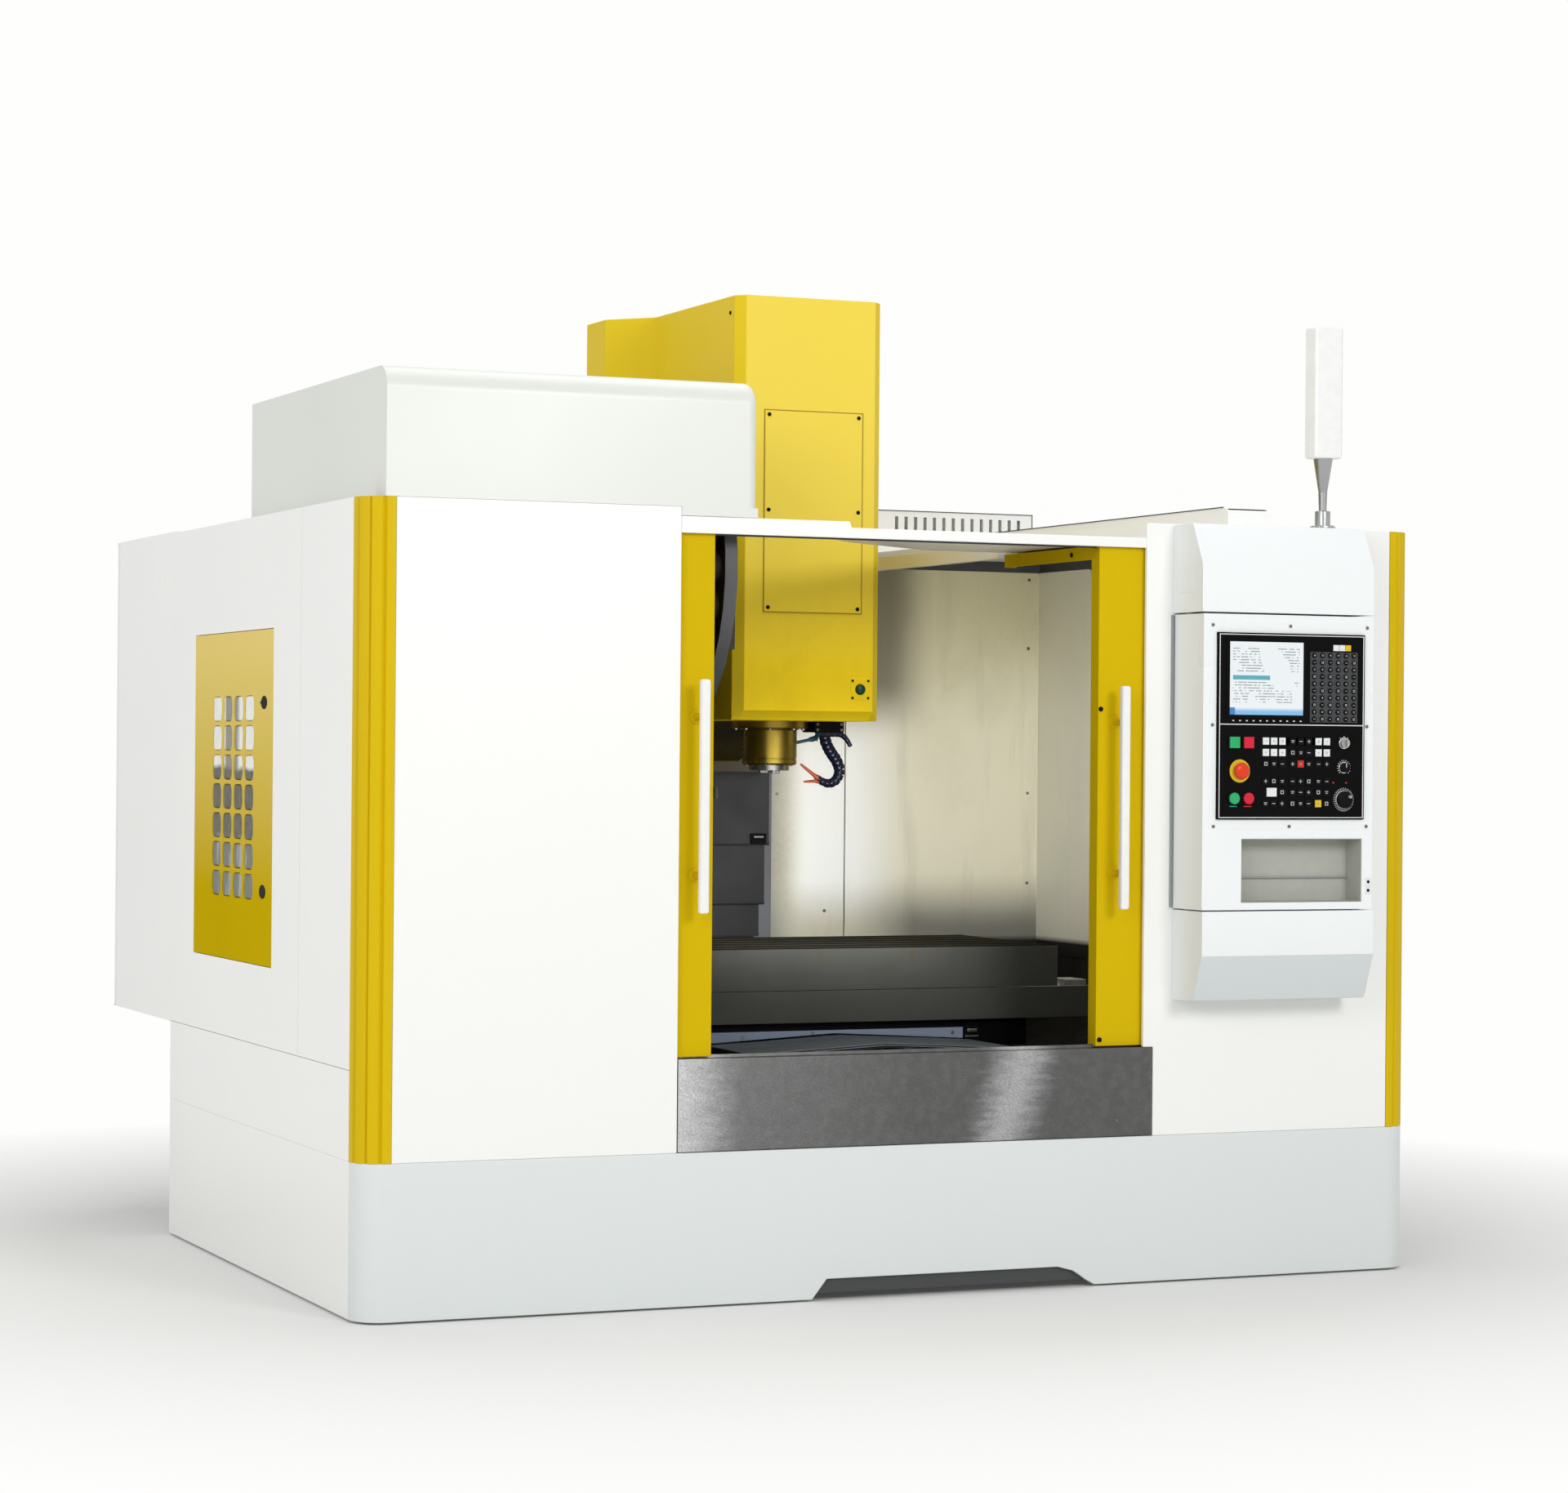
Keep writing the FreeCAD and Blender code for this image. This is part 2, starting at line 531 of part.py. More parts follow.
def door(edge, side):
    """Sliding door frame: side +1 is the right door, whose left edge leads."""
    x0, x1 = sorted((edge, edge + side * DOOR_LEN))
    leaf = block(x0, x1, DOOR_Y0, DOOR_Y1, DOOR_BOTTOM, DOOR_TOP)
    gx0, gx1 = (x0 + 160, x1 - 90) if side > 0 else (x0 + 90, x1 - 125)
    leaf = leaf.cut(block(gx0, gx1, DOOR_Y0 - 1, DOOR_Y1 + 1, 900, 2040))
    leaf = leaf.cut(block(gx0 - 15, gx1 + 15, -1318, -1310, 885, 2055))
    leaf = leaf.cut(block(x0 - 1, x1 + 1, -1320.3, -1309.7, 2211.5, DOOR_TOP + 1))
    leaf = leaf.cut(block(x0 - 1, x1 + 1, -1320.3, -1309.7, DOOR_BOTTOM - 1, 721.5))
    hx = -700 if side < 0 else 655
    grip = prism([(hx - 19, -1394), (hx - 19, -1410), (hx - 11, -1418), (hx + 11, -1418),
                  (hx + 19, -1410), (hx + 19, -1394)], "Z", 1129, 1797)
    posts = [prism(ngon(hx, z, 12, 8), "Y", -1394, -1338) for z in (1236, 1690)]
    parts = [leaf, grip] + posts
    if side > 0:
        parts.append(block(600, 1366, DOOR_Y1 - 1, -704, 2213, 2219))
        parts.append(block(600, 606, DOOR_Y1 - 1, -704, 2178, 2219))
        parts.append(block(600, 640, -710, -704, 2178, 2219))
    return join(parts)


def door_window(side):
    x0, x1 = (RIGHT_EDGE + 160, RIGHT_EDGE + DOOR_LEN - 90) if side > 0 else (-1325, -770)
    return block(x0 - 15, x1 + 15, -1318, -1310, 885, 2055)


# ---------------------------------------------------------------- control station

def control_housings():
    """Fixed hood above and junction housing below the swinging control box."""
    hood = prism([(FRONT, 2020), (CS_FRONT, 2020), (CS_FRONT, 2162), (-1478, 2286), (FRONT, 2286)],
                 "X", CS_X0, CS_X1)
    hollow = prism([(FRONT - 12, 2019), (CS_FRONT + 12, 2019), (CS_FRONT + 12, 2158), (-1472, 2274),
                    (FRONT - 12, 2274)], "X", CS_X0 + 12, CS_X1 - 12)
    lower = prism([(FRONT, 853), (-1490, 857), (CS_FRONT, 993), (CS_FRONT, 1126), (FRONT, 1126)],
                  "X", CS_X0 + 6, CS_X1 + 6)
    inner = prism([(FRONT - 12, 865), (-1480, 869), (CS_FRONT + 12, 996), (CS_FRONT + 12, 1114),
                   (FRONT - 12, 1114)], "X", CS_X0 + 18, CS_X1 - 6)
    pins = [rod(PIVOT_X, PIVOT_Y, 1126, 12, 9), rod(PIVOT_X, PIVOT_Y, 2010, 12, 12)]
    web = block(CS_X0 + 11, 900, PIVOT_Y - 30, FRONT - 11, 2020, 2032)
    return group([join([hood.cut(hollow), web, pins[1]]), join([lower.cut(inner), pins[0]])])


def control_box():
    """Swinging box with the instrument opening and the open tray recess."""
    outer = block(CS_X0 + 4, CS_X1 - 2, CS_FRONT, FRONT - 6, 1130, 2015)
    inner = block(CS_X0 + 16, CS_X1 - 14, CS_FRONT + 12, FRONT - 18, 1142, 2003)
    shell = outer.cut(inner)
    opening = block(904, 1385, CS_FRONT - 1, CS_FRONT + 13, 1416, 1945)
    mouth = block(979, 1399, CS_FRONT - 1, CS_FRONT + 13, 1152, 1343)
    tray = block(973, 1405, CS_FRONT + 11, CS_FRONT + 96, 1146, 1349)
    tray = tray.cut(block(979, 1399, CS_FRONT, CS_FRONT + 90, 1152, 1343))
    bearing = rod(PIVOT_X, PIVOT_Y, 1129, 12.05, 14)
    top = rod(PIVOT_X, PIVOT_Y, 2002, 12.05, 14)
    return join([shell.cut(opening).cut(mouth), tray]).cut(bearing).cut(top)


def screen_unit():
    """Display with its key block and the soft keys under the glass."""
    frame = block(892, 1396, -1550, CS_FRONT, 1687, 1957)
    body = block(910, 1380, CS_FRONT, -1470, 1700, 1940)
    recess = block(929, 1185, -1551, -1546, 1714, 1933)
    keys = [block(1226, 1350, -1553, -1549, z, z + 20) for z in range(1722, 1890, 28)]
    soft = block(940, 1180, -1553, -1549, 1693, 1705)
    return join([frame, body, soft] + keys).cut(recess)


def operator_panel():
    """Machine operator panel plate with its square lamps keys and actuator bezels."""
    plate = block(892, 1396, -1550, CS_FRONT, 1404, 1684)
    body = block(910, 1380, CS_FRONT, -1480, 1420, 1680)
    keys = [block(1042, 1276, -1553, -1549, z, z + 24) for z in range(1448, 1640, 44)]
    holes = []
    for x, z in ((944, 1631), (992, 1631), (944, 1464), (993, 1464), (965, 1546)):
        holes.append(prism(ngon(x, z, 14, 8), "Y", -1560, -1470))
    for z in (1632, 1558, 1461):
        holes.append(prism(ngon(1327, z, 7, 8), "Y", -1560, -1470))
    ring = prism(ngon(965, 1546, 33, 16), "Y", -1553, -1549)
    return join([plate, body, ring] + keys).cut(group(holes))


def emergency_stop():
    profile = [(0, 0), (12, 0), (12, 48), (25, 51), (20, 60), (0, 62)]
    return turned(profile, 965, 1546, "Y", -1512)


def push_button(x, z, square):
    if square:
        cap = block(x - 17, x + 17, -1561, -1554, z - 17, z + 17)
    else:
        cap = prism(ngon(x, z, 17.5, 16), "Y", -1561, -1554)
    return cap.fuse(prism(ngon(x, z, 12.8, 8), "Y", -1555, -1522))


def key_switch():
    body = turned([(0, 0), (6, 0), (6, 38), (15, 38), (15, 48), (0, 48)], 1327, 1632, "Y", -1513)
    blade = block(1324.5, 1329.5, -1574, -1560, 1622, 1642)
    return body.fuse(blade)


def override_knob():
    body = turned([(0, 0), (6, 0), (6, 38), (15, 38), (12, 54), (0, 54)], 1327, 1558, "Y", -1513)
    return body.fuse(block(1325, 1329, -1569, -1560, 1558, 1572))


def mode_dial():
    body = turned([(0, 0), (6, 0), (6, 38), (26, 38), (24, 50), (0, 50)], 1327, 1461, "Y", -1513)
    return body.fuse(prism(ngon(1340, 1470, 5, 6), "Y", -1571, -1560))


def signal_pole():
    profile = [(0, 2286), (24, 2286), (24, 2340), (12, 2343), (14, 2402), (30, 2500), (0, 2500)]
    flange = prism(ngon(1330, -1412, 40, 12), "Z", 2286, 2294)
    return join([turned(profile, 1330, -1412), flange])


def signal_lamp():
    return block(1282, 1380, -1446, -1378, 2500, 2903)


# ---------------------------------------------------------------- tool changer

def magazine_disc():
    """Rotating disc with its hub, rim and 24 tool pots."""
    disc = prism(ngon(MAG_Y, MAG_Z, MAG_R, 36), "X", -580, -540)
    hub = rod(-690, MAG_Y, MAG_Z, 80, 160, "X")
    bore = rod(-691, MAG_Y, MAG_Z, 30.05, 162, "X")
    pots = []
    for k in range(POTS):
        a = 2 * math.pi * k / POTS
        y, z = MAG_Y + POT_R * math.sin(a), MAG_Z - POT_R * math.cos(a)
        pots.append(prism(ngon(y, z, 48, 6), "X", -680, -579))
    return join([disc, hub] + pots).cut(bore)


def changer_housing():
    """Bracket from the column, cam box of the changer arm and the magazine shaft with its motor."""
    cam = block(ARM_X - 100, ARM_X + 90, ARM_Y - 100, ARM_Y + 100, 1560, 1980)
    arm = block(-480, -400, ARM_Y + 99, 620, 1700, 1900)
    foot = block(-480, -350, 575, 678, 1660, 1940)
    shaft = rod(-760, MAG_Y, MAG_Z, 30, 290, "X")
    carrier = block(-530, -400, MAG_Y - 90, MAG_Y + 90, 2040, 2220)
    riser = block(-480, -400, -900, -300, 1899, 2041)
    motor = block(-800, -700, MAG_Y - 70, MAG_Y + 70, 2060, 2200)
    body = join([cam, arm, foot, carrier, riser, shaft, motor])
    return body.cut(rod(ARM_X, ARM_Y, 1500, 40.05, 350))


def changer_shaft():
    return rod(ARM_X, ARM_Y, 1490, 40, 300)


def changer_arm():
    """Double-ended gripper arm, parked clear of the spindle."""
    bar = prism([(-ARM_R + 44, -34), (ARM_R - 44, -34), (ARM_R - 44, 34), (-ARM_R + 44, 34)], "Z", 0, 34)
    hub = rod(0, 0, 0, 62, 40)
    arm = [bar, hub]
    for s in (-1, 1):
        jaw = Part.makeCylinder(62, 34, V(s * ARM_R, 0, 0))
        jaw = jaw.cut(Part.makeCylinder(42, 36, V(s * ARM_R, 0, -1)))
        jaw = jaw.cut(block(*sorted((s * ARM_R, s * (ARM_R + 80))), -42, 42, -1, 35))
        arm.append(jaw)
    solid = join(arm)
    solid.rotate(V(0, 0, 0), V(0, 0, 1), ARM_PARK)
    solid.translate(V(ARM_X, ARM_Y, ARM_Z))
    return solid


# ---------------------------------------------------------------- side door, cabinet, coolant

def side_door():
    """Slotted access door, flush with the side, with a filter mat on the inside."""
    leaf = block(-HALF_W, -HALF_W + SHEET, -455, 458, 938, 1946)
    slots = []
    for c in range(4):
        for r in range(7):
            y, z = -241 + 125.3 * c, 1130 + 90.3 * r
            slots.append(block(-1701, -1684, y, y + 105, z, z + 78))
    for z in (1159, 1727):
        slots.append(rod(-1701, -360, z, 15.05, 20, "X"))
    for z in (937, 1931):
        slots.append(rod(SIDE_PIN_X, SIDE_PIN_Y, z, 4.05, 16))
    frame = block(-1685, -1677, -264, 264, 1106, 1774)
    mat = block(-1677, -1665, -264, 264, 1106, 1774)
    frame = frame.cut(block(-1686, -1676, -248, 248, 1122, 1758))
    return group([join([leaf.cut(group(slots)), frame]), mat])


def latch(z):
    body = rod(-1700, -360, z, 15, 15, "X")
    blade = block(-1685, -1679, -475, -345, z - 8, z + 8)
    return body.fuse(blade)


def electrical_cabinet():
    """Casing open at the rear with the mounting plate and its drive modules."""
    case = block(-HALF_W, -620, REAR, 1516, 696, 2295)
    case = case.cut(block(-HALF_W + 4, -624, REAR + 4, 1521, 700, 2291))
    lugs = []
    for z, pin in ((696, 700), (2291, 2271)):
        lugs.append(block(-HALF_W + 1, -1670, 1500, 1560, z, z + 4))
        lugs.append(rod(REAR_PIN_X, REAR_PIN_Y, pin, 5, 20))
    plate = block(-1640, -680, 770, 776, 760, 2240)
    studs = [block(x, x + 30, REAR + 3, 771, z, z + 30) for x in (-1620, -730) for z in (780, 2180)]
    gear = [block(-1560 + 150 * k, -1430 + 150 * k, 776, 990, 1750, 2150) for k in range(5)]
    gear += [block(-1580, -740, 776, 850, 1480, 1560), block(-1580, -1200, 776, 900, 1000, 1300),
             block(-1120, -760, 776, 860, 1040, 1260)]
    return group([join([case, plate] + studs + lugs)] + gear)


def cabinet_door():
    leaf = block(-HALF_W, -620, 1520, 1540, 702, 2289)
    barrels = [rod(REAR_PIN_X, REAR_PIN_Y, z, 9, 40) for z in (702, 2249)]
    seal = block(-1690, -630, 1512, 1520, 706, 2285).cut(block(-1670, -650, 1511, 1521, 726, 2265))
    handle = join([rod(-670, 1540, 1500, 16, 12, "Y"), block(-684, -656, 1552, 1574, 1430, 1530)])
    bores = [rod(REAR_PIN_X, REAR_PIN_Y, z, 5.05, 42) for z in (701, 2248)]
    return join([leaf, handle, seal] + barrels).cut(group(bores))


def coolant_tank():
    """Open-topped tank with part lid, pump and castors behind the enclosure."""
    tank = block(660, 1660, 770, 1400, 90, 430)
    tank = tank.cut(block(666, 1654, 776, 1394, 96, 431))
    lid = block(660, 1180, 770, 1400, 430, 436)
    pump = join([prism(ngon(860, 1100, 95, 8), "Z", 436, 466), prism(ngon(860, 1100, 75, 12), "Z", 466, 726),
                 block(830, 890, 1070, 1130, 120, 437)])
    wheels = [prism(ngon(x, 35, 35.0, 12), "Y", y - 16, y + 16) for x in (720, 1600) for y in (850, 1320)]
    forks = [block(x - 30, x + 30, y - 30, y + 30, 66, 91) for x in (720, 1600) for y in (850, 1320)]
    return join([tank, lid, pump] + wheels + forks)


PARTS = {
    "bed_casting": bed_casting,
    "levelling_feet": levelling_feet,
    "base_skirt": base_skirt,
    "enclosure_frame": enclosure_frame,
    "left_front_panel": left_front_panel,
    "right_front_panel": right_front_panel,
    "corner_posts": corner_posts,
    "left_side_panels": left_side_panels,
    "rear_side_panels": rear_side_panels,
    "roof_panels": roof_panels,
    "header_beam": header_beam,
    "steel_apron": steel_apron,
    "left_roof_cover": left_roof_cover,
    "inner_walls": inner_walls,
    "chip_tray": chip_tray,
    "column_casting": column_casting,
    "axis_drives": axis_drives,
    "fixed_way_covers": fixed_way_covers,
    "x_axis_drive": x_axis_drive,
    "z_cover_head": lambda: z_cover(1),
    "z_cover_middle": lambda: z_cover(2),
    "z_cover_lower": lambda: z_cover(3),
    "head_casting": head_casting,
    "head_cover": head_cover,
    "spindle_housing": spindle_housing,
    "spindle": spindle,
    "coolant_hoses": coolant_hoses,
    "release_button": release_button,
    "y_cover_saddle": lambda: gable(-1140, -800, 2),
    "y_cover_middle": lambda: gable(-1150, -810, 1),
    "saddle": saddle,
    "table": table,
    "left_door": lambda: door(LEFT_EDGE, -1),
    "left_window": lambda: door_window(-1),
    "right_door": lambda: door(RIGHT_EDGE, 1),
    "right_window": lambda: door_window(1),
    "control_housings": control_housings,
    "control_box": control_box,
    "screen_unit": screen_unit,
    "operator_panel": operator_panel,
    "emergency_stop": emergency_stop,
    "power_on_button": lambda: push_button(944, 1631, True),
    "power_off_button": lambda: push_button(992, 1631, True),
    "start_button": lambda: push_button(944, 1464, False),
    "hold_button": lambda: push_button(993, 1464, False),
    "key_switch": key_switch,
    "override_knob": override_knob,
    "mode_dial": mode_dial,
    "signal_pole": signal_pole,
    "signal_lamp": signal_lamp,
    "magazine_disc": magazine_disc,
    "changer_housing": changer_housing,
    "changer_shaft": changer_shaft,
    "changer_arm": changer_arm,
    "side_door": side_door,
    "upper_latch": lambda: latch(1727),
    "lower_latch": lambda: latch(1159),
    "electrical_cabinet": electrical_cabinet,
    "cabinet_door": cabinet_door,
    "coolant_tank": coolant_tank,
}

os.makedirs("parts", exist_ok=True)
for name, build in PARTS.items():
    build().exportStep("parts/" + name + ".step")
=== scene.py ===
"""Looks of a vertical machining center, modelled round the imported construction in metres."""
import json
import math

import bmesh
import bpy
from mathutils import Matrix, Vector


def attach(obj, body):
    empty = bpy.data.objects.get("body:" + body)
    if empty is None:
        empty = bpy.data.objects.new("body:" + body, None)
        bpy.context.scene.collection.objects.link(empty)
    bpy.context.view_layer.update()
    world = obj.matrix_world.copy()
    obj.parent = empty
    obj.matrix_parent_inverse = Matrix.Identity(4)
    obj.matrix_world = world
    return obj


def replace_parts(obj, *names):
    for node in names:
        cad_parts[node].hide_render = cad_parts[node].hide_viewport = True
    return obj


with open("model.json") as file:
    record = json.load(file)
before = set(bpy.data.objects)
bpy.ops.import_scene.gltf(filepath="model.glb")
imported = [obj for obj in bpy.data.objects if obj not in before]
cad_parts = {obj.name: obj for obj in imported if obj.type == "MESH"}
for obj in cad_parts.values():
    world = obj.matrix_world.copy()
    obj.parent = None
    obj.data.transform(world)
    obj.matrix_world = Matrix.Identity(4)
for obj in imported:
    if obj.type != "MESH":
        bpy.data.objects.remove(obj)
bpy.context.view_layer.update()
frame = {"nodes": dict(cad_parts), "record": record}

bl_info = {
    "name": "Machining Center Finish",
    "version": (1, 0, 0),
    "blender": (4, 5, 0),
    "location": "3D View > Sidebar > Machine",
    "description": "Finishes, fasteners, control station and coolant hoses of a machining center",
    "category": "Object",
}


# ---------------------------------------------------------------- settings

def colour(name, description, value):
    return bpy.props.FloatVectorProperty(
        name=name, description=description, subtype="COLOR", size=3, min=0.0, max=1.0, default=value)


def length(name, description, value):
    return bpy.props.FloatProperty(
        name=name, description=description, subtype="DISTANCE", unit="LENGTH", min=0.0, default=value)


class MachinePaints(bpy.types.PropertyGroup):
    """Colours of the machine's coats and bare metals, as linear light."""
    white: colour("Panel white", "Powder coat of the enclosure", (0.90, 0.905, 0.88))
    base: colour("Base grey", "Powder coat of the base skirt", (0.73, 0.77, 0.765))
    roof: colour("Roof cover", "Powder coat of the raised magazine cover", (0.72, 0.74, 0.69))
    yellow: colour("Yellow", "Powder coat of doors and pillars", (0.65, 0.455, 0.004))
    cream: colour("Inner cream", "Enamel of the inner walls", (0.76, 0.73, 0.57))
    table: colour("Table iron", "Ground iron of the table", (0.062, 0.064, 0.056))
    iron: colour("Grey iron", "Paint of the bed casting", (0.17, 0.20, 0.24))
    cover: colour("Way covers", "Oiled sheet of the telescopic covers", (0.026, 0.0265, 0.028))
    head: colour("Head yellow", "Powder coat of the head's cover", (0.96, 0.68, 0.014))
    station: colour("Station white", "Powder coat of the control station", (0.86, 0.89, 0.89))


class MachineSizes(bpy.types.PropertyGroup):
    """Widths of rounded edges, by the way a part is made, and the length of the hose links."""
    sheet: length("Sheet edge", "Rounding of cut sheet metal", 0.0018)
    fold: length("Fold", "Rounding of folded panels", 0.003)
    flute: length("Flute edge", "Rounding of the fluted pillars", 0.001)
    casting: length("Casting edge", "Rounding of castings", 0.005)
    machined: length("Machined edge", "Rounding of machined and turned parts", 0.0012)
    table: length("Table edge", "Rounding of the table and its slots", 0.0015)
    cover: length("Cover edge", "Rounding of thin cover plates and small fittings", 0.0008)
    lamp: length("Lamp edge", "Rounding of the signal lamp", 0.009)
    link: length("Hose link", "Length of one link of the coolant hoses", 0.0155)


class PhotoCamera(bpy.types.PropertyGroup):
    """Where the photograph was taken from."""
    place: bpy.props.FloatVectorProperty(
        name="Place", description="Camera position", subtype="TRANSLATION", unit="LENGTH",
        size=3, default=(-4.729, -11.3225, 1.5947))
    yaw: bpy.props.FloatProperty(
        name="Yaw", description="Turn of the view from straight ahead to the right",
        subtype="ANGLE", unit="ROTATION", default=math.radians(23.317))
    pitch: bpy.props.FloatProperty(
        name="Pitch", description="Tilt of the view upwards", subtype="ANGLE", unit="ROTATION",
        default=math.radians(0.067))
    roll: bpy.props.FloatProperty(
        name="Roll", description="Turn of the picture round its centre", subtype="ANGLE",
        unit="ROTATION", default=math.radians(0.473))
    lens: bpy.props.FloatProperty(
        name="Lens", description="Focal length on a 36 mm wide sensor", min=1.0, default=86.33)


# ---------------------------------------------------------------- shader building

class Wire:
    """A socket in a node tree; arithmetic on it adds Math nodes."""

    def __init__(self, shading, socket):
        self.shading = shading
        self.socket = socket

    def maths(self, operation, *values):
        return self.shading.node("ShaderNodeMath", {"operation": operation}, dict(enumerate(values)))

    def __add__(self, other):
        return self.maths("ADD", self, other)

    def __radd__(self, other):
        return self.maths("ADD", other, self)

    def __sub__(self, other):
        return self.maths("SUBTRACT", self, other)

    def __rsub__(self, other):
        return self.maths("SUBTRACT", other, self)

    def __mul__(self, other):
        return self.maths("MULTIPLY", self, other)

    def __rmul__(self, other):
        return self.maths("MULTIPLY", other, self)

    def __truediv__(self, other):
        return self.maths("DIVIDE", self, other)

    def __rtruediv__(self, other):
        return self.maths("DIVIDE", other, self)

    def __lt__(self, other):
        return self.maths("LESS_THAN", self, other)

    def __gt__(self, other):
        return self.maths("GREATER_THAN", self, other)

    def soft(self):
        """Ease a 0..1 value in and out."""
        return self * self * (3.0 - self * 2.0)

    def clamp(self):
        return self.shading.node("ShaderNodeClamp", {}, {"Value": self})


class Shading:
    """A tree of shader nodes, built node by node."""

    def __init__(self, tree):
        self.tree = tree

    def feed(self, socket, value):
        if isinstance(value, Wire):
            self.tree.links.new(value.socket, socket)
        elif socket.type == "RGBA" and len(value) == 3:
            socket.default_value = (*value, 1.0)
        else:
            socket.default_value = value

    def node(self, kind, settings=None, values=None, out=0):
        """Add a node: its settings first, then the values or links of its sockets."""
        made = self.tree.nodes.new(kind)
        for name, value in (settings or {}).items():
            setattr(made, name, value)
        for name, value in (values or {}).items():
            self.feed(made.inputs[name], value)
        return Wire(self, made.outputs[out])

    def surface(self, ending, shown, lit):
        """Camera, mirror and glass see one shader, while the other lights the machine."""
        outputs = self.node("ShaderNodeLightPath").socket.node.outputs
        seen = Wire(self, outputs["Is Camera Ray"])
        for ray in ("Is Glossy Ray", "Is Transmission Ray"):
            seen = self.node("ShaderNodeMath", {"operation": "ADD", "use_clamp": True},
                             {0: seen, 1: Wire(self, outputs[ray])})
        mixed = self.node("ShaderNodeMixShader", {}, {0: seen, 1: lit, 2: shown})
        self.feed(self.tree.nodes[ending].inputs["Surface"], mixed)


class Finish(Shading):
    """One material, built on its shader."""

    def __init__(self, name, **constants):
        self.material = bpy.data.materials.new(name)
        self.material.use_nodes = True
        super().__init__(self.material.node_tree)
        self.shader = self.tree.nodes["Principled BSDF"]
        self.set(**constants)

    def set(self, **values):
        """Set or link the shader's sockets; an underscore in a name stands for a space."""
        for name, value in values.items():
            self.feed(self.shader.inputs[name.replace("_", " ")], value)

    def place(self, scale=(1.0, 1.0, 1.0)):
        """Object coordinates, stretched by scale."""
        spot = self.node("ShaderNodeTexCoord", {}, {}, "Object")
        if scale == (1.0, 1.0, 1.0):
            return spot
        return self.node("ShaderNodeMapping", {}, {"Vector": spot, "Scale": scale})

    def axis(self, name):
        split = self.node("ShaderNodeSeparateXYZ", {}, {"Vector": self.place()})
        return Wire(self, split.socket.node.outputs[name])

    def noise(self, scale, detail=4.0, stretch=(1.0, 1.0, 1.0), roughness=0.55):
        return self.node("ShaderNodeTexNoise", {}, {
            "Vector": self.place(stretch), "Scale": scale, "Detail": detail, "Roughness": roughness})

    def ramp(self, value, low, high, start=0.0, end=1.0):
        """Value taken from low..high to start..end, held at the ends."""
        return self.node("ShaderNodeMapRange", {}, {
            "Value": value, "From Min": low, "From Max": high, "To Min": start, "To Max": end})

    def mix(self, amount, first, second):
        return self.node("ShaderNodeMix", {"data_type": "RGBA"}, {0: amount, 6: first, 7: second}, 2)

    def bump(self, height, strength=0.2, distance=0.001):
        return self.node("ShaderNodeBump", {}, {
            "Height": height, "Strength": strength, "Distance": distance})


def darker(tint, share):
    return tuple(part * share for part in tint)


def paints():
    return bpy.context.scene.machine_paints


def sizes():
    return bpy.context.scene.machine_sizes


# ---------------------------------------------------------------- modelling

ORIGIN = (0.0, 0.0, 0.0)
FLAT = math.radians(0.5)


def mm(*lengths):
    """Millimetres as metres."""
    return tuple(length_mm / 1000.0 for length_mm in lengths)


def alone(piece):
    """Make one object the only one selected, and the active one."""
    bpy.ops.object.select_all(action="DESELECT")
    piece.select_set(True)
    bpy.context.view_layer.objects.active = piece


def fresh(primitive, **options):
    """New primitive mesh, added with nothing else selected."""
    bpy.ops.object.select_all(action="DESELECT")
    primitive(**options)
    return bpy.context.object


def in_edit_mode():
    bpy.ops.object.mode_set(mode="EDIT")
    bpy.ops.mesh.select_all(action="SELECT")


def in_object_mode():
    bpy.ops.object.mode_set(mode="OBJECT")


def pick(piece, kind, wanted):
    """In edit mode, select only the corners, edges or faces that pass the test, and count them."""
    bpy.ops.mesh.select_mode(type=kind)
    bpy.ops.mesh.select_all(action="DESELECT")
    mesh = bmesh.from_edit_mesh(piece.data)
    parts = {"VERT": mesh.verts, "EDGE": mesh.edges, "FACE": mesh.faces}[kind]
    found = [part for part in parts if wanted(part)]
    for part in found:
        part.select_set(True)
    bmesh.update_edit_mesh(piece.data)
    return len(found)


def pick_faces(piece, wanted):
    """Select the faces whose centre and normal pass the test."""
    return pick(piece, "FACE", lambda face: wanted(face.calc_center_median(), face.normal))


def extrude(*shift):
    bpy.ops.mesh.extrude_region_move(TRANSFORM_OT_translate={"value": shift})


def face_outwards():
    bpy.ops.mesh.select_all(action="SELECT")
    bpy.ops.mesh.normals_make_consistent(inside=False)


def coat(piece, material):
    piece.data.materials.clear()
    piece.data.materials.append(material)
    return piece


def repaint(piece, material, wanted):
    """Give the faces that pass the test a material of their own."""
    piece.data.materials.append(material)
    alone(piece)
    in_edit_mode()
    pick_faces(piece, wanted)
    piece.active_material_index = len(piece.data.materials) - 1
    bpy.ops.object.material_slot_assign()
    in_object_mode()
    return piece


def settle():
    """Put the active object's place, turn and size into its mesh."""
    bpy.ops.object.transform_apply(location=True, rotation=True, scale=True)


def modify(piece, kind, **settings):
    """Apply a modifier with these settings."""
    alone(piece)
    modifier = piece.modifiers.new(kind.lower(), kind)
    for name, value in settings.items():
        setattr(modifier, name, value)
    bpy.ops.object.modifier_apply(modifier=modifier.name)


def ease_edges(piece, width, segments=2, angle=30.0):
    """Round every sharp edge with a bevel; flat faces keep their flat shading."""
    modify(piece, "BEVEL", width=width, segments=segments, limit_method="ANGLE",
           angle_limit=math.radians(angle))
    bpy.ops.object.shade_smooth_by_angle(angle=math.radians(50.0))
    modify(piece, "WEIGHTED_NORMAL", keep_sharp=True)
    return piece


def cuboid(low, high):
    """Plain box between two corners."""
    low, high = Vector(low), Vector(high)
    piece = fresh(bpy.ops.mesh.primitive_cube_add, size=1.0, location=(low + high) / 2, scale=high - low)
    settle()
    return piece


